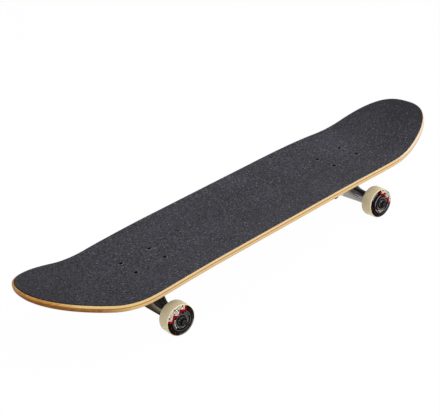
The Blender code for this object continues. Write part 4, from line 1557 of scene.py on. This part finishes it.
@dataclass
class Hardware(SubAssembly):
    """The eight deck bolts and their lock nuts."""

    deck: Deck = field(default_factory=Deck, kw_only=True)
    shaft_radius: float = 0.0024
    length: float = 0.0254
    head_depth: float = 0.0028
    sink: float = 0.0002
    socket_flats: float = 0.004
    socket_depth: float = 0.0016
    thread_pitch: float = 0.0008
    plain_shaft: float = 0.005
    thread_depth: float = 0.0003
    tip_chamfer: float = 0.0006
    socket_rim: float = 0.7
    head_edge: tuple[tuple[float, float], ...] = ((0.86, 0.0), (0.96, 0.00012), (1.0, 0.0004))
    nut_flats: float = 0.0095
    nut_height: float = 0.0048
    collar_share: float = 0.3
    collar: tuple[float, float] = (0.00025, 0.0011)

    def bolt_mesh(self) -> Mesh:
        """One countersunk bolt with a hexagon socket, its head's face at z = 0.

        Returns:
            The mesh, with its socket marked for painted shade.
        """
        socket, rim = self.socket_flats, self.socket_flats * self.socket_rim
        head, shaft, pitch = self.deck.head_radius, self.shaft_radius, self.thread_pitch
        outside = [(rim, 0), *((head * share, -fall) for share, fall in self.head_edge)]
        outside.append((shaft, -self.head_depth))
        for k in range(int((self.length - self.head_depth) / pitch)):
            start = -self.head_depth - k * pitch
            if start <= -self.length + self.plain_shaft:
                outside += [(shaft, start - pitch * 0.15), (shaft - self.thread_depth, start - pitch * 0.6)]
        outside += [(shaft - self.tip_chamfer, -self.length), (0, -self.length)]
        rings = [circle(0, -self.socket_depth - 0.0006, Facets.BOLT)]
        for depth in (self.socket_depth, 0.0003):
            rings.append(hexagon_ring(socket, lambda radius, depth=depth: -depth, Facets.BOLT))
        mesh = mesh_of_rings("bolt", rings + circles(outside, Facets.BOLT))
        points = [vertex.co for vertex in mesh.vertices]
        edge, floor = rim * 1.01, -self.head_depth
        # The socket's points are marked for painted shade.
        store(mesh, "deep", [point.xy.length < edge and point.z > floor for point in points])
        return mesh

    def spread(self) -> Wiring:
        """The geometry tree that sets a copy of a piece on each point of a mesh.

        Returns:
            The tree.
        """
        wiring = Wiring("bolt_pattern", TreeKind.GEOMETRY)
        wiring.open_group(("Piece", "NodeSocketObject"))
        given = {"Object": wiring.given("Piece"), "As Instance": True}
        piece = wiring.add("GeometryNodeObjectInfo", given).outputs["Geometry"]
        spots = {"Points": wiring.given("Mesh"), "Instance": piece}
        wiring.close_group(wiring.add("GeometryNodeInstanceOnPoints", spots).outputs[0])
        return wiring

    def add_set(
        self,
        name: str,
        mesh: Mesh,
        finish: Finish,
        height: Callable[[float, float], float],
        node: str = "",
    ) -> None:
        """Adds one piece at all eight bolt places.

        Args:
            name: The set's name.
            mesh: The piece round its own origin.
            finish: The piece's finish.
            height: The height of the origin at a point of the plan.
            node: The start of the names of the CAD nodes that the set stands for.
        """
        bolts = self.layout.bolts()
        points = bpy.data.meshes.new("places")
        points.from_pydata([(x, y, height(x, y)) for _, x, y in bolts], [], [])
        piece = temporary(mesh)
        made = run_tree(points, self.spread(), {"Piece": piece, "Finish": finish.material()})
        bpy.data.objects.remove(piece, do_unlink=True)
        nodes = [f"{node}_{bolt}" for bolt, _, _ in bolts] if node else []
        self.fit(name, made, finish, ROOT, nodes, sharp=32)

    def build(self) -> None:
        """Adds the bolts, the nuts and the nuts' collars."""
        gap, height = self.layout.gap, self.nut_height
        lift = gap + self.deck.grip_thickness - self.sink
        foot = self.layout.underside - gap - self.layout.base_thickness - gap - height
        bore = self.shaft_radius + gap
        nut = nut_mesh(self.nut_flats, bore, height, height * self.collar_share)
        nut = moved(nut, shifted(0, 0, -height), UPSIDE_DOWN)
        collar = turned("collar", band(bore - 0.0002, bore + 0.0008, *self.collar), Facets.BOLT)
        bolt, place = self.bolt_mesh(), lambda x, y: self.deck.top(x, y) + lift
        self.add_set("deck_bolt_set", bolt, BOLT_BLACK, place, "deck_bolt")
        self.add_set("lock_nut_set", nut, BRIGHT, lambda x, y: foot, "lock_nut")
        self.add_set("nut_collar_set", collar, COLLAR, lambda x, y: foot)


@dataclass
class Truck(SubAssembly):
    """One truck: baseplate, kingpin stack, pivot cup, hanger and axle."""

    end: End
    axle_setback: float = 0.0076
    ring_reach: float = 0.0096
    ring_drop: float = 0.036
    kingpin_lean: float = radians(13)
    pivot_setback: float = 0.024
    pivot_drop: float = 0.0145
    base_size: tuple[float, float] = (0.082, 0.057)
    base_corner: float = 0.009
    corner_steps: int = 8
    soft_edge: float = 0.0012
    boss_radius: float = 0.0137
    boss_flare: float = 0.0028
    socket_wall: float = 0.003
    socket_floor: float = 0.0024
    rib_width: float = 0.011
    rib_drop: float = 0.0125
    machined_over: float = 0.005
    faced: tuple[float, float] = (0.002, 0.004)
    hole_radius: float = 0.0027
    hole_depth: float = 0.02
    kingpin_radius: float = 0.00476
    kingpin_head: tuple[float, float] = (0.007, 0.0045)
    kingpin_tail: float = 0.0022
    thread_pitch: float = 0.00106
    collar_share: float = 0.28
    bushing_shoulder: float = 0.2
    bushing_steps: int = 5
    ball_steps: int = 12
    thread_start: float = 0.003
    thread_depth: float = 0.0004
    kingpin_chamfer: float = 0.0007
    washer_corner: float = 0.0007
    thin_corner: float = 0.0002
    washer_thickness: float = 0.0019
    board_washer_radius: float = 0.0133
    road_washer_radius: float = 0.01
    barrel: tuple[float, float, float] = (0.015, 0.0125, 0.0117)
    cone: tuple[float, float, float] = (0.0117, 0.0123, 0.0092)
    kingpin_nut: tuple[float, float] = (0.0143, 0.009)
    ring_radius: float = 0.015
    ring_thickness: float = 0.009
    ring_bore: float = 0.0085
    seat_depth: float = 0.0015
    stack_room: float = 0.0026
    hanger_width: float = 0.129
    housing_radii: tuple[float, float] = (0.012, 0.0103)
    gusset_reach: float = 0.048
    ring_gusset_power: float = 1.4
    pivot_gusset_power: float = 2.5
    arm_radius: float = 0.006
    arm_length: float = 0.015
    ball_radius: float = 0.006
    neck_radius: float = 0.005
    cup_wall: float = 0.0012
    cup_lip: float = 0.0045
    axle_radius: float = 0.00397
    axle_length: float = 0.197
    axle_chamfer: float = 0.0006
    centre_mark: tuple[float, float] = (0.0012, 0.0009)
    tunnel_reach: float = 0.2
    washer_radius: float = 0.0065
    speed_washer: float = 0.0008
    grain: float = 0.0008
    hanger_stations: int = 72
    line_stations: int = 40
    line_lift: float = radians(32)
    line_rise: float = 0.0003
    line_section: tuple[float, float, float] = (0.001, 0.0002, 0.0012)
    end_cut: float = 0.0001
    end_box: tuple[float, float, float] = (0.06, 0.02, 0.1)
    soft_rounds: tuple[int, int] = (5, 6)

    def __post_init__(self) -> None:
        """Works out the frames that the pieces stand in and their places along the kingpin."""
        gap = self.layout.gap
        self.place = self.layout.truck_place(self.end)
        self.label = self.end.value
        self.steering = f"{self.label}_hanger_assembly"
        self.ring = Vector((self.ring_reach, 0, -self.ring_drop))
        self.pivot = Vector((-self.pivot_setback, 0, -self.pivot_drop))
        self.axle = Vector((-self.axle_setback, 0, -self.layout.truck_height))
        self.pivot_slope = atan2(self.ring_reach + self.pivot_setback, self.ring_drop - self.pivot_drop)
        self.kingpin_frame = Matrix.Translation(self.ring) @ Matrix.Rotation(-self.kingpin_lean, 4, "Y")
        self.pivot_frame = Matrix.Translation(self.pivot) @ Matrix.Rotation(-self.pivot_slope, 4, "Y")
        self.axle_frame = Matrix.Translation(self.axle) @ Matrix.Rotation(-pi / 2, 4, "X")
        self.barrel_foot = -(self.ring_thickness / 2 - self.seat_depth) - gap
        self.barrel_top = self.barrel_foot - self.barrel[0]
        self.board_washer_top = self.barrel_top - gap - self.washer_thickness
        self.boss_seat = self.board_washer_top - gap
        self.cone_top = -self.barrel_foot
        self.cone_foot = self.cone_top + self.cone[0]
        self.road_washer_top = self.cone_foot + gap
        self.nut_top = self.road_washer_top + self.washer_thickness + gap
        self.nut_foot = self.nut_top + self.kingpin_nut[1]
        self.kingpin_end = self.nut_foot + self.kingpin_tail
        lean = self.kingpin_lean
        self.head_top = -(self.ring_drop - gap - self.kingpin_head[0] * sin(lean)) / cos(lean) + gap
        self.cup_radius = self.ball_radius + gap + self.cup_wall
        self.bore = self.kingpin_radius + gap

    def down_kingpin(self, name: str, profile: Profile) -> Mesh:
        """A turned mesh from (radius, place down the kingpin) points, in the truck's frame."""
        mesh = turned(name, [(radius, -place) for radius, place in profile], Facets.KINGPIN)
        return moved(mesh, self.kingpin_frame)

    def on_pivot(self, name: str, profile: Profile) -> Mesh:
        """A turned mesh round the pivot's axis, in the truck's frame."""
        return moved(turned(name, profile, Facets.AXLE), self.pivot_frame)

    def flange(self) -> Mesh:
        """The baseplate's flange: a plate with round corners and a softened lower edge.

        Returns:
            The mesh, in the truck's frame.
        """
        top = -self.layout.gap
        foot, corner = top - self.layout.base_thickness, self.base_corner
        flat_x, flat_y = (size / 2 - corner for size in self.base_size)
        rings = [[Vector((0, 0, top))]]
        for inset, height in ((0.0, top), (0.0, foot + self.soft_edge), (self.soft_edge, foot)):
            rings.append([])
            for k, (side_x, side_y) in enumerate(((1, 1), (-1, 1), (-1, -1), (1, -1))):
                for i in range(self.corner_steps + 1):
                    turn = pi / 2 * (k + i / self.corner_steps)
                    x = side_x * flat_x + (corner - inset) * cos(turn)
                    y = side_y * flat_y + (corner - inset) * sin(turn)
                    rings[-1].append(Vector((x, y, height)))
        return mesh_of_rings("flange", [*rings, [Vector((0, 0, foot))]])

    def build_baseplate(self) -> None:
        """Casts the baseplate and machines its bores."""
        gap, edge, seat = self.layout.gap, self.soft_edge, self.boss_seat
        start = -self.ring_drop / cos(self.kingpin_lean)
        wide = self.boss_radius + self.boss_flare
        half_way = seat - (seat - start) / 2
        boss = ((0, start), (wide, start), (wide, half_way), (self.boss_radius, seat), (0, seat))
        rib = box(
            (-self.pivot_setback, -self.rib_width / 2, -self.rib_drop),
            (self.ring_reach, self.rib_width / 2, (-gap - self.layout.base_thickness) / 2),
        )
        socket = self.cup_radius + gap
        outside, floor, lip = socket + self.socket_wall, socket + self.socket_floor, -self.cup_lip
        housing = ((0, lip), (outside - edge, lip), (outside, lip + edge))
        housing += ((outside, floor - edge), (outside - edge, floor), (0, floor))
        added = (self.down_kingpin("boss", boss), rib, self.on_pivot("housing", housing))
        rough = combined(self.flange(), Joint.UNION, *added)
        length, width = self.base_size
        deep, shallow = -self.pivot_drop * 2, self.cup_radius - self.cup_wall
        pocket = ((0, deep), (socket, deep), (socket, shallow))
        pocket += ((socket - self.cup_wall, socket), (0, socket))
        head, over = self.kingpin_head[0] + gap, self.machined_over
        head_foot = self.head_top + self.kingpin_head[1] + gap
        kingpin = ((0, start - over), (head, start - over), (head, head_foot))
        kingpin += ((self.bore, head_foot), (self.bore, seat + over), (0, seat + over))
        hole = band(0, self.hole_radius, gap, -self.hole_depth)
        holes = [
            moved(turned("hole", hole, Facets.BOLT), shifted(along, across, 0))
            for along in (-self.layout.bolt_length_pitch / 2, self.layout.bolt_length_pitch / 2)
            for across in (-self.layout.bolt_width_pitch / 2, self.layout.bolt_width_pitch / 2)
        ]
        body = combined(
            cast(rough, self.grain, self.soft_rounds[0]),
            Joint.CUT,
            box((-length, -width, -gap), (length, width, self.ring_drop)),
            self.on_pivot("pocket", pocket),
            self.down_kingpin("kingpin_hole", kingpin),
            self.down_kingpin("boss_face", band(0, wide + self.faced[0], seat, seat + self.faced[1])),
            *holes,
        )
        self.add("baseplate_casting", moved(body, self.place), CASTING, ROOT, "baseplate", 50)

    def hanger_section(self, y: float, steps: int) -> list[Vector]:
        """The hanger casting's section at a distance from the middle: the hull of three round lobes.

        Args:
            y: The distance from the board's middle line.
            steps: Points in the section.

        Returns:
            The section's points, in the truck's frame.
        """
        away = abs(y)
        middle, end = self.housing_radii
        radius = middle + (end - middle) * away / (self.hanger_width / 2)
        arm = self.pivot.xz + Vector((sin(self.pivot_slope), -cos(self.pivot_slope))) * self.arm_length
        ring_middle = (self.ring_radius + self.ring_bore) / 2
        outward = sqrt(max(ring_middle * ring_middle - y * y, 0))
        lean = Vector((cos(self.kingpin_lean), sin(self.kingpin_lean)))
        lobes = [(self.axle.xz, radius)]
        for target, target_radius, start, power in (
            (self.ring.xz - lean * outward, self.ring_thickness / 2, ring_middle, self.ring_gusset_power),
            (arm, self.arm_radius, self.arm_radius, self.pivot_gusset_power),
        ):
            reach = clamped((self.gusset_reach - away) / (self.gusset_reach - start)) ** power
            lobes.append((self.axle.xz.lerp(target, reach), radius + (target_radius - radius) * reach))
        points = []
        for turn in (tau * i / steps for i in range(steps)):
            normal = Vector((cos(turn), sin(turn)))
            centre, lobe_radius = max(lobes, key=lambda lobe: lobe[0].dot(normal) + lobe[1])
            edge = centre + normal * lobe_radius
            points.append(Vector((edge.x, y, edge.y)))
        return points

    def parting_line(self, side: int) -> Mesh:
        """The raised line where the halves of the hanger's mould met, on one side of the axle.

        Args:
            side: The sign of X on that side.

        Returns:
            The mesh, in the truck's frame.
        """
        rings = []
        out = Vector((side * cos(self.line_lift), 0, sin(self.line_lift)))
        up = Vector((-side * sin(self.line_lift), 0, cos(self.line_lift)))
        width, sink, root_depth = self.line_section
        points = ((-sink, width), (self.line_rise, 0.0), (-sink, -width), (-root_depth, 0.0))
        half = self.line_stations // 2
        for k in range(self.line_stations + 1):
            section = self.hanger_section(self.hanger_width / 2 * (k / half - 1), Facets.WHEEL)
            edge = max(section, key=out.dot)
            rings.append([edge + out * away + up * along for away, along in points])
        first, last = ([sum(ring, Vector()) / 4] for ring in (rings[0], rings[-1]))
        return mesh_of_rings("parting_line", [first, *rings, last])

    def build_hanger(self) -> None:
        """Lofts the hanger, joins its ring and pivot nose, softens it and machines its seats and bore."""
        half_width, count = self.hanger_width / 2, self.hanger_stations
        places = [half_width * (2 * k / count - 1) for k in range(count + 1)]
        first, last = ([Vector((self.axle.x, y, self.axle.z))] for y in (-half_width, half_width))
        sections = [self.hanger_section(y, Facets.AXLE) for y in places]
        half, edge = self.ring_thickness / 2, self.soft_edge
        ring = rounded(band(0, self.ring_radius, -half, half), {1: edge, 2: edge})
        foot = -self.arm_length - self.arm_radius / 2
        neck_turn = -acos(self.neck_radius / self.ball_radius)
        nose = [(0, foot), (self.arm_radius, foot), (self.arm_radius, -self.arm_length)]
        nose += [(self.neck_radius, -self.cup_lip - self.layout.gap - self.arm_radius / 2)]
        nose += arc(self.ball_radius, neck_turn, pi / 2, self.ball_steps)[:-1]
        nose.append((0, self.ball_radius))
        rough = combined(
            mesh_of_rings("hanger", [first, *sections, last]),
            Joint.UNION,
            self.down_kingpin("ring", ring),
            self.on_pivot("nose", nose),
        )
        body = cast(rough, self.grain, self.soft_rounds[1])
        body = combined(body, Joint.UNION, *(self.parting_line(side) for side in (-1, 1)))
        board_room = max(self.barrel[1], self.board_washer_radius, self.boss_radius) + self.stack_room
        cone_room = max(self.cone[1], self.road_washer_radius) + self.stack_room
        seat = max(self.barrel[1], self.cone[1]) + self.layout.gap
        seat_floor = half - self.seat_depth
        above = [(0, -self.ring_drop), (board_room, -self.ring_drop), (board_room, -half)]
        seats = [(seat, -half), (seat, -seat_floor), (self.ring_bore, -seat_floor)]
        seats += [(self.ring_bore, seat_floor), (seat, seat_floor), (seat, half)]
        far = self.kingpin_end + self.ring_thickness
        room = above + seats + [(cone_room, half), (cone_room, far), (0, far)]
        tunnel = band(0, self.axle_radius + self.layout.gap, -self.tunnel_reach, self.tunnel_reach)
        near, out = half_width - self.end_cut, half_width + self.end_box[1]
        along, _, down = self.end_box
        body = combined(
            body,
            Joint.CUT,
            self.down_kingpin("room", room),
            moved(turned("tunnel", tunnel, Facets.BOLT), self.axle_frame),
            box((-along, -out, -down), (along, -near, 0.0)),
            box((-along, near, -down), (along, out, 0.0)),
        )
        mark_facing(moved(body, self.place), -1 if self.end is End.NOSE else 1)
        # The nose hanger takes the darker copy with painted shade and highlight; the tail's carries dust and
        # painted shade.
        finish = SHADED_ROAD_CASTING if self.end is End.NOSE else DUSTY_SHADED_CASTING
        self.add("hanger_casting", body, finish, self.steering, "hanger", 50)

    def build_stack(self) -> None:
        """Adds what the kingpin clamps, from the baseplate's boss down to the nut."""
        gap, radius, pitch = self.layout.gap, self.kingpin_radius, self.thread_pitch
        (head, height), top, end = self.kingpin_head, self.head_top, self.kingpin_end
        pin = [(0, top), (head, top), (head, top + height), (radius, top + height)]
        thread = self.nut_foot - self.thread_start
        while thread < end - pitch:
            pin += [(radius, thread), (radius, thread + pitch * 0.3)]
            pin.append((radius - self.thread_depth, thread + pitch * 0.75))
            thread += pitch
        pin += [(radius - self.kingpin_chamfer, end), (0, end)]
        self.add("kingpin_bolt", moved(self.down_kingpin("pin", pin), self.place), BLACKED, ROOT, "kingpin")
        for word, (height, radius, end_radius), start in (
            ("barrel", self.barrel, self.barrel_top),
            ("cone", self.cone, self.cone_top),
        ):
            foot, shoulder = start + height, height * self.bushing_shoulder
            ends = [self.place @ self.kingpin_frame @ Vector((0, 0, -place)) for place in (start, foot)]
            if word == "cone":
                outside = [(radius - gap, start), (radius, start + shoulder), (end_radius, foot)]
                ends.reverse()
            else:
                outside = [(end_radius, start), (radius, start + shoulder), (radius, foot - shoulder)]
                outside.append((end_radius, foot))
            corners = {1: self.soft_edge, len(outside): self.soft_edge}
            section = rounded([(self.bore, start), *outside, (self.bore, foot)], corners, self.bushing_steps)
            mesh = moved(self.down_kingpin(word, section), self.place)
            self.add(f"{word}_urethane", mesh, BUSHING, (ROOT, self.steering, *ends), f"{word}_bushing")
        for word, radius, start in (
            ("board", self.board_washer_radius, self.board_washer_top),
            ("road", self.road_washer_radius, self.road_washer_top),
        ):
            square = band(self.bore, radius, start, start + self.washer_thickness)
            mesh = self.down_kingpin(word, rounded(square, dict.fromkeys((1, 2), self.washer_corner)))
            self.add(f"{word}_cup_washer", moved(mesh, self.place), BRIGHT, ROOT, f"{word}_washer")
        flats, height = self.kingpin_nut
        nut = nut_mesh(flats, self.bore, height, height * self.collar_share)
        nut = moved(nut, UPSIDE_DOWN, shifted(0, 0, -self.nut_top), self.place @ self.kingpin_frame)
        self.add("kingpin_lock_nut", nut, BLACKED, ROOT, "kingpin_nut", 32)

    def build_pivot_cup(self) -> None:
        """Adds the cup that the hanger's nose turns in."""
        inner, outer = self.ball_radius + self.layout.gap, self.cup_radius
        wall, lip = self.cup_wall, -self.cup_lip
        profile = [(0, inner), *reversed(arc(inner, 0, pi / 2, self.ball_steps)[:-1]), (inner, lip)]
        profile += [(outer, lip), (outer, outer - 2 * wall), (outer - wall, outer), (0, outer)]
        mesh = moved(turned("cup", profile, Facets.AXLE), self.place @ self.pivot_frame)
        self.add("pivot_bush", mesh, NYLON, ROOT, "pivot_cup")

    def build_axle(self) -> None:
        """Adds the axle with its two inner speed washers and the centre marks in its ends."""
        end, radius = self.axle_length / 2, self.axle_radius
        rim, soft, chamfer = self.washer_radius, self.thin_corner, self.axle_chamfer
        mark, mark_depth = self.centre_mark
        start = self.hanger_width / 2 + self.layout.gap
        stop = start + self.speed_washer
        side = [(radius, start), (rim - soft, start), (rim, start + soft)]
        side += [(rim, stop - soft), (rim - soft, stop)]
        side += [(radius, stop), (radius, end - chamfer), (radius - chamfer, end)]
        side += [(mark, end), (0, end - mark_depth)]
        mesh = moved(turned("axle", mirrored(side), Facets.AXLE), self.place @ self.axle_frame)
        self.add("axle_rod", mesh, BLACKED, self.steering, "axle")

    def build(self) -> None:
        """Builds the whole truck."""
        self.build_baseplate()
        self.build_hanger()
        self.build_stack()
        self.build_pivot_cup()
        self.build_axle()


@dataclass
class Wheel(SubAssembly):
    """One wheel with its bearings, outer washer and axle nut."""

    truck: Truck
    hand: Hand
    print_turn: float = 0.0
    chips: Sequence[tuple[float, float, float]] = ()
    print: PrintedUrethane = PRINT
    width: float = 0.0266
    tread: float = 0.0178
    lip: float = 0.002
    bulge: float = 0.0003
    face_steps: int = 8
    seat_chamfer: float = 0.0004
    ink_place: float = 0.7
    hub_radius: float = 0.0132
    core_width: float = 0.0104
    core_bore: float = 0.0085
    bearing_radius: float = 0.011
    bearing_width: float = 0.007
    race: float = 0.002
    race_corners: tuple[float, float] = (0.0004, 0.0003)
    shield_rim: Profile = ((0.0, 0.0009), (0.0, 0.00035), (0.0004, 0.0002), (0.0007, 0.00045))
    shield_lip: Profile = ((0.0001, 0.0009), (0.0006, 0.0004), (0.0001, 0.0005))
    nut: tuple[float, float] = (0.0127, 0.0055)
    collar_share: float = 0.3

    def __post_init__(self) -> None:
        """Works out the places along the axle."""
        gap, truck = self.layout.gap, self.truck
        self.label = f"{truck.label}_{self.hand.value}"
        self.body = f"{self.label}_wheel_assembly"
        start = truck.hanger_width / 2 + gap + truck.speed_washer + gap + self.bearing_width + gap
        self.middle = start + self.core_width / 2
        self.washer_place = start + self.core_width + gap + self.bearing_width + gap
        self.nut_place = self.washer_place + truck.speed_washer + gap
        axle = self.layout.truck_place(truck.end) @ truck.axle
        outward = Matrix.Rotation(-self.hand.side * pi / 2, 4, "X")
        self.frame = Matrix.Translation((axle.x, 0, axle.z)) @ outward

    def placed(self, mesh: Mesh, along: float) -> Mesh:
        """Moves a mesh from the axle's frame, where +Z points outwards, to its place."""
        return moved(mesh, self.frame @ shifted(0, 0, along))

    def wheel_mesh(self) -> Mesh:
        """The urethane: tread, rounded lips, sloping faces, bearing seats and core.

        Returns:
            The mesh, with the print's layer and its chips.
        """
        half, radius, core = self.width / 2, self.layout.wheel_radius, self.core_width / 2
        seat, chamfer, steps = self.bearing_radius + self.layout.gap, self.seat_chamfer, self.face_steps
        side = arc(self.lip, 0, pi / 2, steps, (radius - self.lip, self.tread / 2))
        first, last = Vector(side[-1]), Vector((self.hub_radius, half))
        for i in range(1, steps + 1):
            across, place = first.lerp(last, i / steps)
            side.append((across, place + self.bulge * sin(pi * i / steps)))
        side += [(seat + chamfer, half), (seat, half - chamfer), (seat, core), (self.core_bore, core)]
        mesh = turned("wheel", mirrored(side), Facets.WHEEL)
        layer = mesh.uv_layers.new(name="face")
        turn = Matrix.Rotation(self.print_turn, 2)
        for face in mesh.polygons:
            away = face.center.xy.length
            outer = face.center.z > self.tread / 2 and away > seat
            inked = face.center.z > 0 and away <= seat
            for corner in face.loop_indices:
                point = mesh.vertices[mesh.loops[corner].vertex_index].co
                layer.data[corner].uv = turn @ point.xy / radius if outer else (0, -self.ink_place * inked)
        store(mesh, "chipped", [self.chipped(vertex.co) for vertex in mesh.vertices])
        return mesh

    def chipped(self, point: Vector) -> float:
        """How far the print is chipped off at a point round the hub's outer corner, from nothing to one.

        Args:
            point: The point, in the wheel's own frame.

        Returns:
            The share that is chipped off.
        """
        if point.z < self.tread / 2 or abs(point.xy.length - self.hub_radius) > self.lip / 8:
            return 0.0
        turn = degrees(atan2(point.x, point.y)) % 360
        return max((share for first, last, share in self.chips if first <= turn <= last), default=0.0)

    def build_wheel(self) -> None:
        """Adds the urethane, with the print on its outer face."""
        mesh = self.placed(self.wheel_mesh(), self.middle)
        layer = mesh.uv_layers["face"].data
        printed = [int(any(layer[face.loop_start].uv)) for face in mesh.polygons]
        self.add("urethane", mesh, TREAD, self.body, "wheel")
        mesh.materials.append(self.print.material())
        mesh.polygons.foreach_set("material_index", printed)

    def build_bearings(self) -> None:
        """Adds each bearing's outer race, shield and inner race. The inner race stays with the axle."""
        bore = self.truck.axle_radius + self.layout.gap
        inner, outer, half = bore + self.race, self.bearing_radius - self.race, self.bearing_width / 2
        away = (self.core_width + self.bearing_width) / 2 + self.layout.gap
        wide, fine = self.race_corners
        ring = rounded(band(outer, self.bearing_radius, -half, half), {1: wide, 2: wide, 3: fine})
        race = rounded(band(bore, inner, -half, half), {2: fine, 3: fine})
        rim = [(outer - inwards, half - down) for inwards, down in self.shield_rim]
        lip = [(inner + outwards, half - down) for outwards, down in self.shield_lip]
        shield = [lip[0], *rim, *lip[1:]]
        for word, side in (("inner", -1), ("outer", 1)):
            place = shifted(0, 0, side * away) @ Matrix.Rotation(0 if side > 0 else pi, 4, "X")
            for piece, profile, finish, body, node in (
                ("outer_race", ring, RACE, self.body, f"{word}_bearing"),
                ("shield", shield, SHIELD, self.body, ""),
                ("inner_race", race, RACE, self.truck.steering, ""),
            ):
                mesh = moved(turned(piece, profile, Facets.BEARING), place)
                self.add(f"{word}_{piece}", self.placed(mesh, self.middle), finish, body, node)

    def build_nut(self) -> None:
        """Adds the outer speed washer and the axle nut with its collar."""
        truck, (flats, height) = self.truck, self.nut
        bore = truck.axle_radius + self.layout.gap
        square = band(bore, truck.washer_radius, 0, truck.speed_washer)
        square = rounded(square, dict.fromkeys((1, 2), truck.thin_corner))
        washer = self.placed(turned("washer", square, Facets.AXLE), self.washer_place)
        self.add("thin_washer", washer, BRIGHT, truck.steering, "speed_washer")
        nut = self.placed(nut_mesh(flats, bore, height, height * self.collar_share), self.nut_place)
        self.add("axle_lock_nut", nut, BLACKED, truck.steering, "axle_nut", sharp=32)

    def build(self) -> None:
        """Builds the wheel and all that turns or holds it."""
        self.build_wheel()
        self.build_bearings()
        self.build_nut()


@dataclass(frozen=True)
class Lamp:
    """One soft lamp: a square that shines at a point."""

    name: str
    place: tuple[float, float, float]
    size: float
    power: float


@dataclass
class Studio:
    """The floor, the soft light and the camera."""

    camera_place: tuple[float, float, float] = (-0.798915, -1.125789, 0.831975)
    azimuth: float = radians(-33.952)
    elevation: float = radians(27.93)
    roll: float = radians(-10.24)
    focal_pixels: float = 964.166
    sensor: float = 36.0
    clip: tuple[float, float] = (0.01, 100.0)
    floor_size: float = 30.0
    floor_white: float = 0.985
    paper: float = 0.86
    sky_strength: float = 0.6
    lamps: tuple[Lamp, ...] = (
        Lamp("key_lamp", (0.7, -1.5, 1.5), 1.3, 31.0),
        Lamp("fill_lamp", (-1.6, -1.6, 0.7), 1.5, 3.0),
        Lamp("top_lamp", (-0.2, 0.8, 2.3), 2.4, 3.0),
    )

    def shown_white(self, wiring: Wiring, share: float, plain: str, values: dict[str, object]) -> None:
        """Ends a tree so that its own shader lights the board and plain white is what the camera sees.

        Args:
            wiring: The tree.
            share: How much of what is seen is white.
            plain: The shader that lights the board.
            values: That shader's inputs.
        """
        world = wiring.kind is TreeKind.WORLD
        glow = "ShaderNodeBackground" if world else "ShaderNodeEmission"
        white = wiring.add(glow, {"Color": (1, 1, 1, 1), "Strength": 1.0}).outputs[0]
        own = wiring.add(plain, values).outputs[0]
        mixed = wiring.add("ShaderNodeMixShader", {0: wiring.seen_white() * share, 1: own, 2: white})
        wiring.add("ShaderNodeOutputWorld" if world else "ShaderNodeOutputMaterial", {0: mixed.outputs[0]})

    def build_floor(self) -> None:
        """Lays a pale floor that looks white to the camera and keeps a faint shadow."""
        wiring = Wiring("pale_floor", TreeKind.MATERIAL)
        paper = (self.paper, self.paper, self.paper, 1)
        self.shown_white(wiring, self.floor_white, "ShaderNodeBsdfDiffuse", {"Color": paper})
        half = self.floor_size / 2
        corners = [(-half, -half, 0), (half, -half, 0), (half, half, 0), (-half, half, 0)]
        mesh = bpy.data.meshes.new("floor")
        mesh.from_pydata(corners, [], [(0, 1, 2, 3)])
        mesh.materials.append(wiring.owner)
        floor = bpy.data.objects.new("floor", mesh)
        bpy.context.scene.collection.objects.link(floor)

    def build_world(self) -> None:
        """Surrounds the board with soft light that looks white to the camera."""
        wiring = Wiring("studio", TreeKind.WORLD)
        light = {"Color": (1, 1, 1, 1), "Strength": self.sky_strength}
        self.shown_white(wiring, 1.0, "ShaderNodeBackground", light)
        bpy.context.scene.world = wiring.owner

    def build_lamps(self) -> None:
        """Hangs the soft lamps."""
        for lamp in self.lamps:
            light = bpy.data.lights.new(lamp.name, "AREA")
            light.size = lamp.size
            light.energy = lamp.power
            thing = bpy.data.objects.new(lamp.name, light)
            thing.location = lamp.place
            thing.rotation_euler = Vector(lamp.place).to_track_quat("Z", "Y").to_euler()
            bpy.context.scene.collection.objects.link(thing)

    def build_camera(self) -> None:
        """Sets the camera at the photograph's place, turn and focal length."""
        azimuth, elevation, roll = self.azimuth, self.elevation, self.roll
        back = Vector((sin(azimuth) * cos(elevation), -cos(azimuth) * cos(elevation), sin(elevation)))
        right = Vector((cos(azimuth), sin(azimuth), 0))
        up = back.cross(right)
        axes = (right * cos(roll) + up * sin(roll), up * cos(roll) - right * sin(roll), back)
        data = bpy.data.cameras.new("camera")
        data.sensor_fit, data.sensor_width = "HORIZONTAL", self.sensor
        data.lens = self.sensor * self.focal_pixels / IMAGE_WIDTH
        data.clip_start, data.clip_end = self.clip
        camera = bpy.data.objects.new("camera", data)
        camera.matrix_world = Matrix.Translation(self.camera_place) @ Matrix(axes).transposed().to_4x4()
        bpy.context.scene.collection.objects.link(camera)
        bpy.context.scene.camera = camera

    def build(self) -> None:
        """Builds the studio."""
        bpy.context.scene.view_settings.view_transform = "Standard"
        self.build_floor()
        self.build_world()
        self.build_lamps()
        self.build_camera()


WHEEL_LOOKS = {
    (End.NOSE, Hand.LEFT): (-18, ((238, 306, 1.0), (5, 75, 0.55)), RUBBED_PRINT),
    (End.NOSE, Hand.RIGHT): (150, ((60, 130, 0.9), (190, 260, 0.6)), PRINT),
    (End.TAIL, Hand.LEFT): (56, ((165, 235, 1.0), (245, 300, 0.55)), PRINT),
    (End.TAIL, Hand.RIGHT): (75, ((10, 80, 0.6), (200, 250, 1.0)), RUBBED_PRINT),
}


def main() -> None:
    """Builds every sub-assembly in order, then the studio."""
    logging.basicConfig(level=logging.INFO, format="%(name)s: %(message)s")
    deck = Deck()
    deck.build()
    Hardware(deck=deck).build()
    for end in End:
        truck = Truck(end, line_rise=0.0005 if end is End.NOSE else 0.0003)
        truck.build()
        for hand in Hand:
            turn, chips, finish = WHEEL_LOOKS[end, hand]
            Wheel(truck, hand, radians(turn), chips, finish).build()
    Studio().build()


if __name__ == "__main__":
    main()
